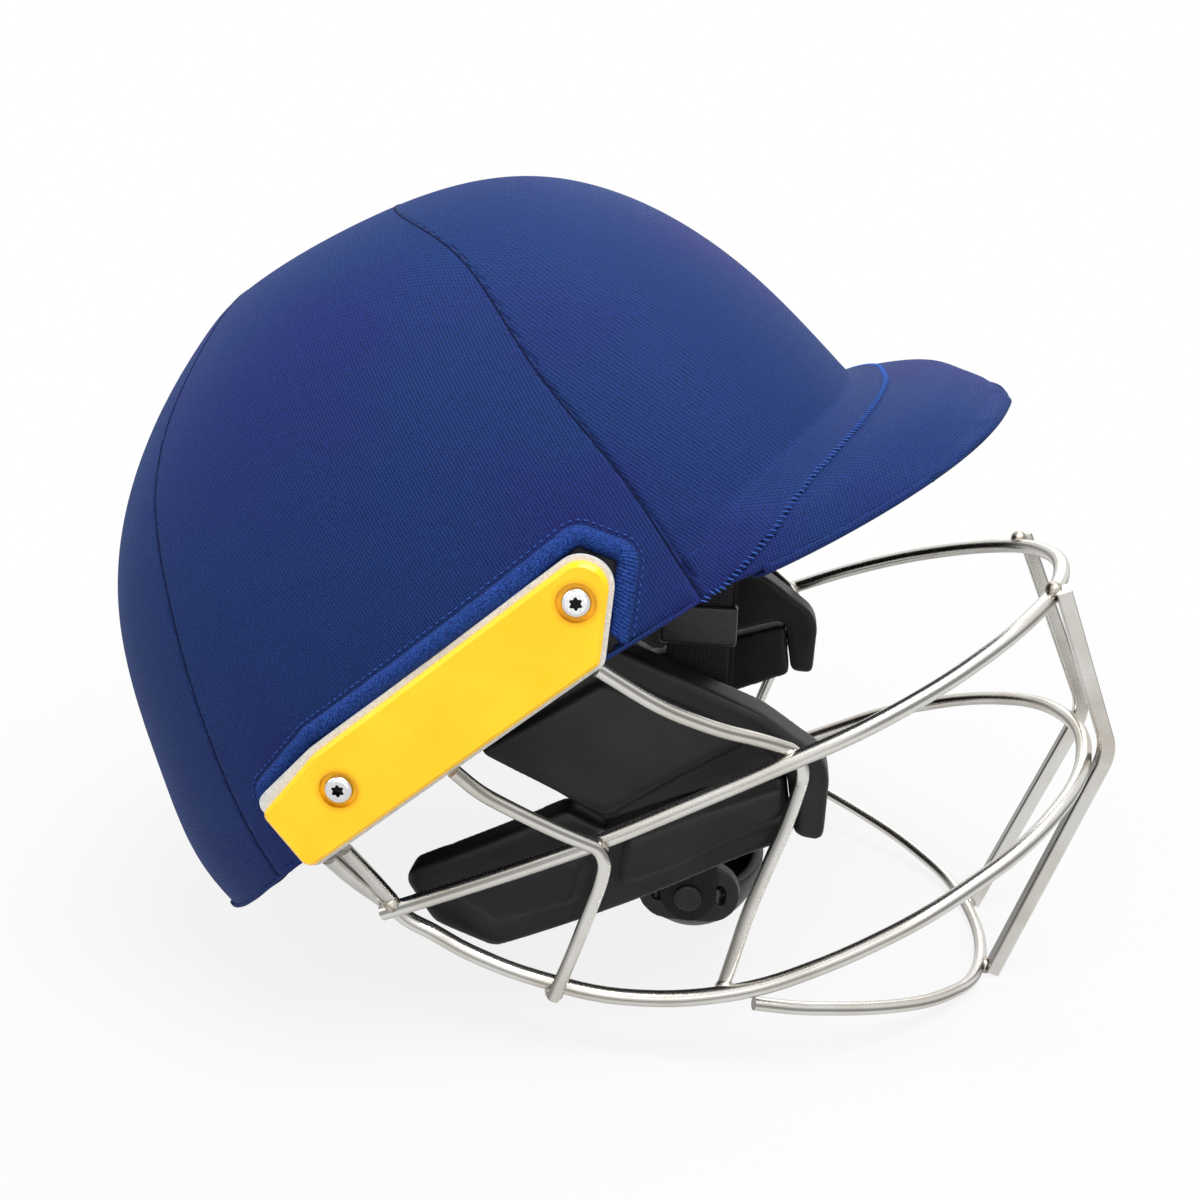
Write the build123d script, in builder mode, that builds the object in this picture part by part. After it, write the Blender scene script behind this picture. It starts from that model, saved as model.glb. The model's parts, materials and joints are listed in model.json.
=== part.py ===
"""A cloth-covered cricket helmet with a round-wire face guard, standing on its nape and chin bar.

The helmet is drawn level, as it is worn, and tipped back at the end into the attitude in
which it rests.  Millimetres.  +X is the wearer's front, +Y the wearer's left and +Z is up.
While it is drawn, the origin is on the middle plane at the widest station of the shell.
"""

import os
from math import asin, atan2, cos, degrees, hypot, radians, sin, tan

from build123d import *

os.makedirs("parts", exist_ok=True)

# Driving dimensions of the covered shell
dome_front = 151.5
dome_rear = 119.0
dome_side = 105.0
dome_height = 144.5
crown_lean = 10.0
# Layers of the shell, from the cloth inwards
cloth = 1.2
layer_gap = 0.2
shell_wall = 3.0
foam_wall = 8.0
comfort_wall = 8.0
# Peak
peak_reach = 183.6
peak_root = 80.0
peak_side = 88.6
peak_tail = 40.0
peak_top = 24.0
peak_lip = 16.0
peak_wall = 3.2
# Rim
rim_nape = 27.0
rim_brow = 5.0
hem_drop = 2.4
hem_width = 9.0
# Side plates and their screws
plate_middle = 22.0
plate_face = 109.0
plate_height = 17.5
plate_yaw = 4.6
plate_half = 56.0
plate_rise = 14.0
plate_wall = 3.4
backing_wall = 1.6
backing_margin = 1.3
screw_head = 7.6
screw_head_height = 2.2
screw_shank = 4.0
screw_seat = 10.4
screw_seat_depth = 1.4
drive_width = 2.6
# Face guard wires
guard_wire = 4.8
strut_wire = 4.0
upright_bar = 4.6
visor_reach = 174.1
visor_half = 88.6
visor_drop = 63.0
jaw_reach = 153.7
jaw_half = 84.3
jaw_drop = 118.2
chin_reach = 88.7
chin_half = 82.8
chin_drop = 169.8
# Ear and jaw pads
pad_half = 81.5
pad_wall = 13.0
pad_panel_rise = 2.2
pad_front = 96.0
pad_drop = 78.0
# Chin strap and cup
pin_forward = 90.0
pin_height = 10.0
pin_shank = 6.0
strap_width = 18.0
strap_wall = 1.6
strap_out = 54.0
strap_in = 37.0
strap_length = 123.0
running_gap = 0.35
cup_length = 24.0
cup_side = 33.0
cup_depth = 26.0
cup_wall = 4.0
cup_ear = 11.0
cup_stud = 7.0
overrun = 60.0

pieces = []


def keep(builder, name):
    """Label a finished piece and put it with the others."""
    builder.part.label = name
    pieces.append(builder)


def keep_pair(builder, name):
    """Keep a right-hand piece together with its mirror image on the wearer's left."""
    with BuildPart() as twin:
        mirror(builder.part, about=Plane.XZ)
    keep(builder, name + "_right")
    keep(twin, name + "_left")


# The dome, as level rings: shares of height, front, rear and side
dome_ring_shares = (
    (-0.25, 1.015, 1.036, 0.885),
    (0.0, 1.0, 1.0, 0.99),
    (0.224, 0.954, 0.918, 0.996),
    (0.425, 0.908, 0.823, 0.956),
    (0.603, 0.840, 0.710, 0.870),
    (0.754, 0.745, 0.542, 0.738),
    (0.873, 0.613, 0.333, 0.566),
    (0.954, 0.416, 0.152, 0.361),
    (0.9945, 0.149, 0.039, 0.129),
)
shoulder_share = 0.735


def ring(height, station, front, rear, side):
    """A level outline: blunt ends at front and rear, widest at its station."""
    forward = station + (front - station) * shoulder_share
    backward = station - (station + rear) * shoulder_share
    out = side * shoulder_share
    with BuildSketch(Plane.XY.offset(height)) as level:
        with BuildLine():
            Spline(
                (front, 0),
                (forward, out),
                (station, side),
                (backward, out),
                (-rear, 0),
                (backward, -out),
                (station, -side),
                (forward, -out),
                periodic=True,
            )
        make_face()
    return level.sketch.face()


def dome(inset):
    """The solid head form, drawn in by inset from the outside of the cloth."""
    levels = []
    for rise, front, rear, side in dome_ring_shares:
        height = rise * (dome_height - inset if rise > 0 else dome_height)
        station = crown_lean * rise**6
        level = ring(
            height,
            station,
            dome_front * front - inset,
            dome_rear * rear - inset,
            dome_side * side - inset,
        )
        levels.append(level)
    crown = Vertex(crown_lean, 0, dome_height - inset)
    with BuildPart() as form:
        loft(sections=[*levels, crown])
    return form.part


# The peak, as level rings: shares of the peak's height, reach and side
peak_ring_shares = (
    (-0.917, 0.975, 0.985),
    (-0.667, 0.986, 0.993),
    (-0.417, 1.0, 1.0),
    (-0.083, 0.989, 1.0),
    (0.208, 0.961, 0.988),
    (0.458, 0.929, 0.965),
    (0.667, 0.869, 0.926),
    (0.833, 0.80, 0.858),
    (1.0, 0.70, 0.72),
)


def peak_block(inset):
    """The solid form of the peak and its root, drawn in by inset from the cloth."""
    levels = []
    for rise, reach, side in peak_ring_shares:
        level = ring(
            rise * (peak_top - inset if rise > 0 else peak_top),
            peak_root,
            peak_reach * reach - inset,
            -peak_tail - inset,
            peak_side * side - inset,
        )
        levels.append(level)
    with BuildPart() as form:
        loft(sections=levels)
    return form.part


def side_zone(line, *corners):
    """Everything in a side-view outline: a smooth line, closed through plain corners."""
    with BuildPart() as zone:
        with BuildSketch(Plane.XZ):
            with BuildLine():
                Spline(*line)
                Polyline(line[-1], *corners, line[0])
            make_face()
        extrude(amount=2 * dome_side, both=True)
    return zone.part


# The rim seen from the side, from nape to brow: shares of rear or front and of the nape drop
rim_shares = (
    (-1.06, -1.22),
    (-1.017, -1.0),
    (-0.983, -0.833),
    (-0.79, -0.48),
    (-0.487, -0.185),
    (-0.168, 0.0),
    (0.10, 0.11),
    (0.42, 0.20),
)
ceiling = dome_height + overrun


def above_rim(drop):
    """The room above the rim line, with that line lowered by drop."""
    line = [(dome_rear * along, rim_nape * up - drop) for along, up in rim_shares]
    line.append((dome_front * 0.6, rim_brow * 0.8 - drop))
    line.append((dome_front + overrun, rim_brow - drop))
    return side_zone(line, (line[-1][0], ceiling), (line[0][0], ceiling))


# Where the peak's lower edge leaves the rim, where it ends at the tip, and how high on the
# shell the peak is seated, as a share of its own height
peak_edge_start = (92.0, 3.8)
peak_edge_end = (184.0, -13.6)
peak_seat_share = 0.8


def above_peak_edge(lift):
    """The room between the lower edge of the peak and its seat on the shell."""
    seat = peak_top * peak_seat_share
    start = (peak_edge_start[0], peak_edge_start[1] + lift)
    end = (peak_edge_end[0] + overrun, peak_edge_end[1] + lift - overrun / 10)
    middle = (peak_edge_end[0] - cloth, peak_edge_end[1] + lift)
    return side_zone([start, middle, end], (end[0], seat), (start[0], seat))


room_for_cloth = above_rim(0)
room_for_shell = above_rim(-layer_gap)
room_for_foam = above_rim(-2 * layer_gap)
room_for_hem = above_rim(hem_drop)

dome_outside = dome(0)
dome_under_cloth = dome(cloth)
shell_outside = dome(cloth + layer_gap)
shell_inside = dome(cloth + layer_gap + shell_wall)
foam_outside = dome(cloth + 2 * layer_gap + shell_wall)
foam_inside = dome(cloth + 2 * layer_gap + shell_wall + foam_wall)
comfort_outside = dome(cloth + 3 * layer_gap + shell_wall + foam_wall)
comfort_inside = dome(cloth + 3 * layer_gap + shell_wall + foam_wall + comfort_wall)

# Side plates, their screws and what they are set on
plate_plane = Plane(
    origin=(plate_middle, -plate_face, plate_height),
    x_dir=(cos(radians(plate_yaw)), sin(radians(plate_yaw)), 0),
    z_dir=(sin(radians(plate_yaw)), -cos(radians(plate_yaw)), 0),
)
# Corners of the plate and of its backing: shares of the half length and of the rise
plate_corner_shares = (
    (-1.064, 0.04),
    (-1.04, -1.33),
    (0.70, -0.79),
    (0.973, 0.536),
    (0.875, 1.08),
    (-0.68, 0.507),
)
backing_corner_shares = (
    (-1.05, 0.22),
    (-1.04, -1.33),
    (0.70, -0.79),
    (0.973, 0.536),
    (0.875, 1.08),
    (-0.70, 0.52),
)
plate_corner_radii = (2.4, 3.0, 2.4, 6.5, 6.5, 8.0)
screw_share = ((-0.666, -0.286), (0.771, 0.407))
screw_spots = [(plate_half * along, plate_rise * up) for along, up in screw_share]
plate_axis = Axis(plate_plane.origin, plate_plane.z_dir)


def plate_block(shares, margin, top, bottom):
    """A slab with the side plate's outline, between two depths below its outer face."""
    with BuildPart() as slab:
        with BuildSketch(plate_plane.offset(-bottom)):
            with BuildLine():
                FilletPolyline(
                    *[(plate_half * along, plate_rise * up) for along, up in shares],
                    radius=list(plate_corner_radii),
                    close=True,
                )
            make_face()
            if margin:
                offset(amount=margin)
        extrude(amount=bottom - top)
    return slab.part


def screw_rods(radius, top, bottom):
    """Round rods on both screw axes, between two depths below the plate's face."""
    with BuildPart() as rods:
        with BuildSketch(plate_plane.offset(-bottom)):
            with Locations(*screw_spots):
                Circle(radius)
        extrude(amount=bottom - top)
    return rods.part


def with_mirror(block):
    """A block together with its mirror image on the other side."""
    with BuildPart() as both:
        add(block)
        mirror(block, about=Plane.XZ)
    return both.part


backing_depth = plate_wall + backing_wall
screw_clearance = 0.15
nut_radius = 5.0
nut_wall = 2.6
nut_depth = 13.8
well_depth = 16.0
opening_margin = 4.0
binding_width = 3.2
binding_rise = 1.0
window = with_mirror(plate_block(plate_corner_shares, opening_margin, -backing_wall, well_depth))
window_rim = with_mirror(
    plate_block(plate_corner_shares, opening_margin + binding_width, -backing_wall, well_depth)
)
bores = with_mirror(screw_rods(screw_shank / 2 + screw_clearance, 0, nut_depth + nut_wall))
nut_pockets = with_mirror(
    screw_rods(nut_radius + 2 * screw_clearance, nut_depth - screw_clearance, dome_side / 4)
)

hem_relief = with_mirror(
    plate_block(backing_corner_shares, backing_margin + layer_gap, 0, backing_depth + layer_gap)
)

# Seams of the cloth seen from the side: shares of front or rear and of the height
front_seam_shares = (
    (0.30, 1.06),
    (0.40, 0.938),
    (0.495, 0.80),
    (0.535, 0.64),
    (0.545, 0.54),
    (0.58, 0.31),
    (0.59, 0.05),
    (0.60, -0.25),
)
rear_seam_shares = (
    (0.10, 1.06),
    (-0.015, 0.95),
    (-0.17, 0.83),
    (-0.30, 0.59),
    (-0.40, 0.31),
    (-0.487, -0.02),
    (-0.51, -0.25),
)
front_seam = [(dome_front * along, dome_height * up) for along, up in front_seam_shares]
rear_seam = [(dome_rear * along, dome_height * up) for along, up in rear_seam_shares]
front_of_seam = side_zone(
    front_seam,
    (peak_reach + overrun, front_seam[-1][1]),
    (peak_reach + overrun, front_seam[0][1]),
)
behind_seam = side_zone(
    rear_seam,
    (-dome_rear - overrun, rear_seam[-1][1]),
    (-dome_rear - overrun, rear_seam[0][1]),
)

# Stretch cover of the shell: front, crown and rear panels of knitted cloth
with BuildPart() as cover:
    add(dome_outside)
    add(dome_under_cloth, mode=Mode.SUBTRACT)
    add(room_for_cloth, mode=Mode.INTERSECT)
    add(window, mode=Mode.SUBTRACT)

with BuildPart() as front_cover:
    add(cover.part)
    add(front_of_seam, mode=Mode.INTERSECT)
keep(front_cover, "front_cover")

with BuildPart() as crown_cover:
    add(cover.part)
    add(front_of_seam, mode=Mode.SUBTRACT)
    add(behind_seam, mode=Mode.SUBTRACT)
keep(crown_cover, "crown_cover")

with BuildPart() as rear_cover:
    add(cover.part)
    add(behind_seam, mode=Mode.INTERSECT)
keep(rear_cover, "rear_cover")

# Serged binding sewn round the opening that the side plate sits in
half_box = Box(4 * peak_reach, 4 * dome_side, 4 * dome_height, mode=Mode.PRIVATE)
halves = (
    ("right", half_box.moved(Location((0, -2 * dome_side, 0)))),
    ("left", half_box.moved(Location((0, 2 * dome_side, 0)))),
)
binding_outside = dome(-binding_rise)
for side_name, half in halves:
    with BuildPart() as opening_binding:
        add(binding_outside)
        add(dome_outside, mode=Mode.SUBTRACT)
        add(room_for_cloth, mode=Mode.INTERSECT)
        add(window_rim, mode=Mode.INTERSECT)
        add(window, mode=Mode.SUBTRACT)
        add(half, mode=Mode.INTERSECT)
    keep(opening_binding, "opening_binding_" + side_name)

# Rolled hem of the cover, turned under the rim of shell and foam
with BuildPart() as rim_hem:
    add(dome_outside)
    add(dome(hem_width), mode=Mode.SUBTRACT)
    add(room_for_hem, mode=Mode.INTERSECT)
    add(room_for_cloth, mode=Mode.SUBTRACT)
    add(hem_relief, mode=Mode.SUBTRACT)
keep(rim_hem, "rim_hem")

# Hard shell
with BuildPart() as outer_shell:
    add(shell_outside)
    add(shell_inside, mode=Mode.SUBTRACT)
    add(room_for_shell, mode=Mode.INTERSECT)
    add(bores, mode=Mode.SUBTRACT)
keep(outer_shell, "outer_shell")

# Impact foam inside the shell
pin_spot = (pin_forward, pin_height)
pin_clearance = 0.2
with BuildPart() as pin_bores:
    with BuildSketch(Plane.XZ):
        with Locations(pin_spot):
            Circle(pin_shank / 2 + pin_clearance)
    extrude(amount=dome_side - 2 * cloth - shell_wall, both=True)

with BuildPart() as foam_liner:
    add(foam_outside)
    add(foam_inside, mode=Mode.SUBTRACT)
    add(room_for_foam, mode=Mode.INTERSECT)
    add(bores, mode=Mode.SUBTRACT)
    add(nut_pockets, mode=Mode.SUBTRACT)
    add(pin_bores.part, mode=Mode.SUBTRACT)
keep(foam_liner, "foam_liner")

# Comfort pads stuck to the foam: brow, crown, nape and both temples
with BuildPart() as comfort_lining:
    add(comfort_outside)
    add(comfort_inside, mode=Mode.SUBTRACT)
    add(room_for_foam, mode=Mode.INTERSECT)

brow_start = dome_front * 0.70
brow_top = dome_height * 0.30
nape_start = dome_rear * 0.60
nape_top = dome_height * 0.22
crown_floor = dome_height * 0.70
temple_rear = dome_rear * 0.42
temple_front = dome_front * 0.66
temple_top = dome_height * 0.26


def block(low, high):
    """A plain box between two opposite corners."""
    size = [top - bottom for bottom, top in zip(low, high)]
    with BuildPart() as made:
        with Locations(tuple(low)):
            Box(*size, align=(Align.MIN, Align.MIN, Align.MIN))
    return made.part


with BuildPart() as brow_pad:
    add(comfort_lining.part)
    add(
        block((brow_start, -dome_side, -dome_height), (peak_reach, dome_side, brow_top)),
        mode=Mode.INTERSECT,
    )
keep(brow_pad, "brow_pad")

with BuildPart() as nape_pad:
    add(comfort_lining.part)
    add(
        block((-2 * dome_rear, -dome_side, -dome_height), (-nape_start, dome_side, nape_top)),
        mode=Mode.INTERSECT,
    )
keep(nape_pad, "nape_pad")

with BuildPart() as crown_pad:
    add(comfort_lining.part)
    add(
        block((-dome_rear, -dome_side, crown_floor), (dome_front, dome_side, ceiling)),
        mode=Mode.INTERSECT,
    )
keep(crown_pad, "crown_pad")

with BuildPart() as temple_pad:
    add(comfort_lining.part)
    add(
        block((-temple_rear, -dome_side, -dome_height), (temple_front, 0, temple_top)),
        mode=Mode.INTERSECT,
    )
    add(pin_bores.part, mode=Mode.SUBTRACT)
keep_pair(temple_pad, "temple_pad")

# Peak: a hard arched visor set on the shell, and its cloth
with BuildPart() as peak_cover:
    add(above_peak_edge(0))
    add(peak_block(0), mode=Mode.INTERSECT)
    add(dome_outside, mode=Mode.SUBTRACT)
    add(peak_block(cloth), mode=Mode.SUBTRACT)
keep(peak_cover, "peak_cover")

with BuildPart() as peak:
    add(above_peak_edge(cloth))
    add(peak_block(cloth + layer_gap), mode=Mode.INTERSECT)
    add(dome_outside, mode=Mode.SUBTRACT)
    add(peak_block(cloth + layer_gap + peak_wall), mode=Mode.SUBTRACT)
keep(peak, "peak")

# Side plates
bevel = 1.0
with BuildPart() as side_plate:
    add(plate_block(plate_corner_shares, 0, 0, plate_wall))
    chamfer(
        side_plate.faces().sort_by(plate_axis)[-1].edges(),
        length=bevel,
    )
    add(screw_rods(screw_seat / 2, -bevel, screw_seat_depth), mode=Mode.SUBTRACT)
    add(screw_rods(screw_shank / 2 + screw_clearance, 0, plate_wall), mode=Mode.SUBTRACT)
keep_pair(side_plate, "side_plate")

with BuildPart() as backing_plate:
    add(plate_block(backing_corner_shares, backing_margin, plate_wall, backing_depth))
    add(
        screw_rods(screw_shank / 2 + screw_clearance, plate_wall, backing_depth),
        mode=Mode.SUBTRACT,
    )
keep_pair(backing_plate, "backing_plate")

# Spacers between backing plate and shell
spacer_radius = 6.5
spacer_rods = with_mirror(screw_rods(spacer_radius, backing_depth, dome_side / 6))
for side_name, half in halves:
    with BuildPart() as plate_spacers:
        add(spacer_rods)
        add(bores, mode=Mode.SUBTRACT)
        add(shell_outside, mode=Mode.SUBTRACT)
        add(half, mode=Mode.INTERSECT)
    keep(plate_spacers, "plate_spacers_" + side_name)

# Button-head screws with a six-lobed recess, and the flanged nuts behind the shell
lobe_share = 0.34
with BuildPart() as plate_screws:
    head = screw_rods(screw_head / 2, screw_seat_depth - screw_head_height, screw_seat_depth)
    add(head)
    fillet(
        plate_screws.faces().group_by(plate_axis)[-1].edges(),
        radius=screw_head_height * 0.55,
    )
    with BuildSketch(plate_plane.offset(-screw_seat_depth + screw_head_height * 0.4)):
        with Locations(*screw_spots):
            Circle(drive_width / 2)
            with PolarLocations(drive_width / 2, 6):
                Circle(drive_width * lobe_share / 2)
    extrude(amount=screw_head_height, mode=Mode.SUBTRACT)
    add(screw_rods(screw_shank / 2, screw_seat_depth, nut_depth + nut_wall / 2))
keep_pair(plate_screws, "plate_screws")

with BuildPart() as plate_nuts:
    with BuildSketch(plate_plane.offset(-nut_depth - nut_wall)):
        with Locations(*screw_spots):
            RegularPolygon(radius=nut_radius, side_count=6)
    extrude(amount=nut_wall)
    add(
        screw_rods(screw_shank / 2 + screw_clearance, nut_depth, nut_depth + nut_wall),
        mode=Mode.SUBTRACT,
    )
keep_pair(plate_nuts, "plate_nuts")

# Face guard: shares of reach, half width and drop for each round wire
visor_shares = (
    (-0.234, 1.004, 0.473),
    (-0.08, 1.0, 0.555),
    (0.061, 0.998, 0.621),
    (0.180, 0.994, 0.670),
    (0.323, 0.952, 0.727),
    (0.466, 0.906, 0.786),
    (0.600, 0.856, 0.840),
    (0.737, 0.731, 0.895),
    (0.867, 0.526, 0.948),
    (0.964, 0.283, 0.987),
    (1.0, 0.0, 1.0),
)
jaw_shares = (
    (-0.210, 1.272, 0.0186),
    (-0.240, 1.145, 0.123),
    (-0.262, 1.004, 0.242),
    (-0.2485, 0.999, 0.316),
    (-0.2225, 1.0, 0.368),
    (-0.191, 1.0, 0.451),
    (-0.131, 1.0, 0.562),
    (-0.012, 1.0, 0.723),
    (0.117, 0.991, 0.829),
    (0.260, 0.980, 0.897),
    (0.423, 0.955, 0.926),
    (0.592, 0.896, 0.944),
    (0.803, 0.690, 0.973),
    (0.949, 0.381, 0.992),
    (1.0, 0.0, 1.0),
)
chin_shares = (
    (0.406, 1.0, 0.643),
    (0.508, 0.954, 0.700),
    (0.674, 0.813, 0.801),
    (0.823, 0.645, 0.891),
    (0.939, 0.419, 0.963),
    (0.983, 0.217, 0.992),
    (1.0, 0.0, 1.0),
)


def places(shares, reach, half, drop):
    """Points on the right-hand side from shares of reach, half width and drop."""
    return [(reach * along, -half * out, -drop * down) for along, out, down in shares]


def hoop(shares, reach, half, drop):
    """Points from the right-hand end round the front to the left-hand end."""
    right = places(shares, reach, half, drop)
    left = [(x, -y, z) for x, y, z in reversed(right[:-1])]
    return right + left


bend_share = 0.45


def bend_radii(points):
    """The largest bend radius that the two straight runs beside each point allow."""
    radii = []
    for before, corner, after in zip(points, points[1:], points[2:]):
        first = Vector(*corner) - Vector(*before)
        second = Vector(*after) - Vector(*corner)
        half_turn = radians(first.get_angle(second)) / 2
        radii.append(bend_share * min(first.length, second.length) / tan(half_turn))
    return radii


def wire(points, thickness):
    """A round wire: straight runs joined by tangent bends."""
    with BuildPart() as rod:
        with BuildLine() as route:
            if len(points) > 2:
                FilletPolyline(*points, radius=bend_radii(points))
            else:
                Line(*points)
        with BuildSketch(Plane(origin=route.line @ 0, z_dir=route.line % 0)):
            Circle(thickness / 2)
        sweep()
    return rod


visor_bar = wire(hoop(visor_shares, visor_reach, visor_half, visor_drop), guard_wire)
keep(visor_bar, "visor_bar")
jaw_bar = wire(hoop(jaw_shares, jaw_reach, jaw_half, jaw_drop), guard_wire)
keep(jaw_bar, "jaw_bar")
chin_bar = wire(hoop(chin_shares, chin_reach, chin_half, chin_drop), strut_wire)
keep(chin_bar, "chin_bar")

# Front uprights: square bars from visor bar over the jaw bar to the chin bar
upright_shares = ((0.967, 0.350, 0.96), (0.901, 0.197, 1.90), (0.5106, 0.245, 2.711))
upright_bend = 14.0
with BuildPart() as front_upright:
    with BuildLine() as upright_route:
        FilletPolyline(
            *places(upright_shares, visor_reach, visor_half, visor_drop),
            radius=upright_bend,
        )
    with BuildSketch(
        Plane(origin=upright_route.line @ 0, x_dir=(0, 1, 0), z_dir=upright_route.line % 0)
    ):
        RectangleRounded(upright_bar, upright_bar, upright_bar / 6)
    sweep()
keep_pair(front_upright, "front_upright")

# Cheek struts and the short rear strut, of thinner wire
front_strut_shares = (
    (0.339, 1.150, -0.078),
    (0.377, 1.095, 0.216),
    (0.425, 1.016, 0.459),
    (0.461, 0.948, 0.611),
    (0.489, 0.857, 0.784),
    (0.480, 0.845, 0.897),
    (0.420, 0.857, 1.051),
    (0.363, 0.867, 1.170),
    (0.286, 0.880, 1.333),
    (0.174, 0.898, 1.615),
)
rear_strut_shares = (
    (0.071, 1.205, -0.022),
    (0.0775, 1.174, 0.124),
    (0.1045, 1.140, 0.306),
    (0.131, 1.095, 0.487),
    (0.1585, 1.043, 0.659),
    (0.152, 1.037, 0.738),
    (0.125, 1.032, 0.813),
    (0.0115, 1.011, 1.062),
    (-0.071, 0.997, 1.230),
)
short_strut_shares = (
    (-0.154, 1.2144, 0.036),
    (-0.180, 1.106, 0.230),
    (-0.207, 1.000, 0.443),
)
for strut_name, shares in (
    ("front_strut", front_strut_shares),
    ("rear_strut", rear_strut_shares),
    ("short_strut", short_strut_shares),
):
    keep_pair(wire(places(shares, visor_reach, visor_half, visor_drop), strut_wire), strut_name)

# Ear and jaw pads of moulded foam, in a band that lies just inside the wires
band_shares = (
    (-0.44, 0.975),
    (-0.20, 1.0),
    (0.10, 1.0),
    (0.38, 0.962),
    (0.52, 0.929),
    (0.66, 0.912),
    (0.76, 0.902),
    (0.875, 0.888),
    (1.04, 0.81),
)


def pad_band(inset, depth):
    """A standing slab that follows the cheek, inset from the line inside the wires."""
    line = [(pad_front * along, inset - pad_half * out) for along, out in band_shares]
    back = [(x, y + depth) for x, y in reversed(line)]
    with BuildPart() as band:
        with BuildSketch(Plane.XY.offset(-2 * pad_drop)):
            with BuildLine():
                Spline(*line)
                Line(line[-1], back[0])
                Spline(*back)
                Line(back[-1], line[0])
            make_face()
        extrude(amount=3 * pad_drop)
    return band.part


base_band = pad_band(pad_panel_rise, pad_wall - pad_panel_rise)
panel_band = pad_band(0, pad_wall - pad_panel_rise)
# Pad outlines seen from the side: shares of the pads' front and drop, then the corner radius
pad_corner = 3.0
panel_corner = 1.8
panel_bevel = 1.0
ear_shares = (
    (0.068, -0.05, 1),
    (0.2875, 0.533, 1),
    (0.821, 0.698, 1),
    (0.731, 0.946, 0.8),
    (0.80, 1.009, 0.8),
    (0.942, 0.765, 4),
    (0.854, 0.474, 8),
    (0.567, -0.05, 1),
)
ear_roll_shares = (
    (0.47, -0.08, 0.5),
    (0.7625, 0.468, 7),
    (0.845, 0.72, 3),
    (0.744, 0.944, 0.6),
    (0.80, 1.009, 0.8),
    (0.942, 0.765, 4),
    (0.854, 0.474, 8),
    (0.567, -0.08, 0.5),
)
ear_panel_shares = (
    (0.0875, 0.042, 1),
    (0.305, 0.506, 1),
    (0.79, 0.535, 1),
    (0.5125, 0.069, 1),
)
jaw_pad_shares = (
    (-0.37, 0.33, 1.5),
    (0.205, 0.413, 1.2),
    (0.270, 0.560, 1),
    (0.810, 0.722, 0.6),
    (0.721, 0.953, 1),
    (-0.25, 0.765, 2),
    (-0.375, 0.565, 2),
)
jaw_rear_panel_shares = (
    (-0.256, 0.4705, 1),
    (0.148, 0.5756, 1),
    (0.173, 0.6205, 0.8),
    (0.074, 0.732, 1),
    (-0.185, 0.6705, 1),
)
jaw_front_panel_shares = (
    (0.3156, 0.6154, 1),
    (0.798, 0.7423, 0.8),
    (0.756, 0.8526, 1),
    (0.3854, 0.8115, 1),
    (0.2115, 0.760, 1),
)


def pad_slab(shares, corner, band, bevelled=0):
    """A piece of a pad's band inside a rounded side outline, with its outer edge bevelled."""
    with BuildPart() as slab:
        with BuildSketch(Plane.XZ):
            with BuildLine():
                FilletPolyline(
                    *[(pad_front * along, -pad_drop * down) for along, down, times in shares],
                    radius=[corner * times for along, down, times in shares],
                    close=True,
                )
            make_face()
        extrude(amount=dome_side)
        add(band, mode=Mode.INTERSECT)
        if bevelled:
            chamfer(slab.faces().sort_by(Axis.Y)[0].edges(), length=bevelled)
    return slab.part


with BuildPart() as ear_pad:
    add(pad_slab(ear_shares, pad_corner, base_band, panel_bevel))
    add(pad_slab(ear_roll_shares, pad_corner, panel_band, panel_bevel))
    add(pad_slab(ear_panel_shares, panel_corner, panel_band, panel_bevel))
keep_pair(ear_pad, "ear_pad")

with BuildPart() as jaw_pad:
    add(pad_slab(jaw_pad_shares, pad_corner, base_band, panel_bevel))
    add(pad_slab(jaw_rear_panel_shares, panel_corner, panel_band, panel_bevel))
    add(pad_slab(jaw_front_panel_shares, panel_corner, panel_band, panel_bevel))
keep_pair(jaw_pad, "jaw_pad")

# The attitude at rest: tipped back until the nape hem and the chin bar touch one surface
nape_foot = (-dome_rear * 1.017, -rim_nape - hem_drop)
chin_foot = (chin_reach, -chin_drop)
foot_span = hypot(chin_foot[0] - nape_foot[0], chin_foot[1] - nape_foot[1])
foot_slope = atan2(nape_foot[1] - chin_foot[1], chin_foot[0] - nape_foot[0])
rest_tilt = foot_slope + asin(strut_wire / 2 / foot_span)
hang_plane = Plane(
    origin=(pin_forward, 0, pin_height),
    x_dir=(cos(rest_tilt), 0, -sin(rest_tilt)),
    z_dir=(sin(rest_tilt), 0, cos(rest_tilt)),
)

# Chin strap: webbing from the temple studs down to the cup, made hanging from a level pin
stud_head = 10.0
stud_head_wall = 1.5
strap_knee = 48.0
strap_elbow = 88.0
strap_pin_gap = 0.35
strap_face = strap_out - strap_wall / 2
strap_back = strap_out + strap_wall / 2
stud_start = strap_face - running_gap - stud_head_wall
pin_plane = Plane(origin=(pin_forward, 0, pin_height), x_dir=(1, 0, 0), z_dir=(0, -1, 0))


def stud_disc(radius, start, end):
    """A disc on the strap's pin axis, on the right-hand side."""
    with BuildPart() as disc:
        with BuildSketch(pin_plane.offset(start)):
            Circle(radius)
        extrude(amount=end - start)
    return disc.part


with BuildPart() as strap_stud:
    add(stud_disc(pin_shank / 2, stud_start, dome_side))
    add(shell_inside, mode=Mode.INTERSECT)
    add(stud_disc(stud_head / 2, stud_start, stud_start + stud_head_wall))
    add(
        stud_disc(
            stud_head / 2,
            strap_back + running_gap,
            strap_back + running_gap + stud_head_wall,
        )
    )
keep_pair(strap_stud, "strap_stud")

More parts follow.
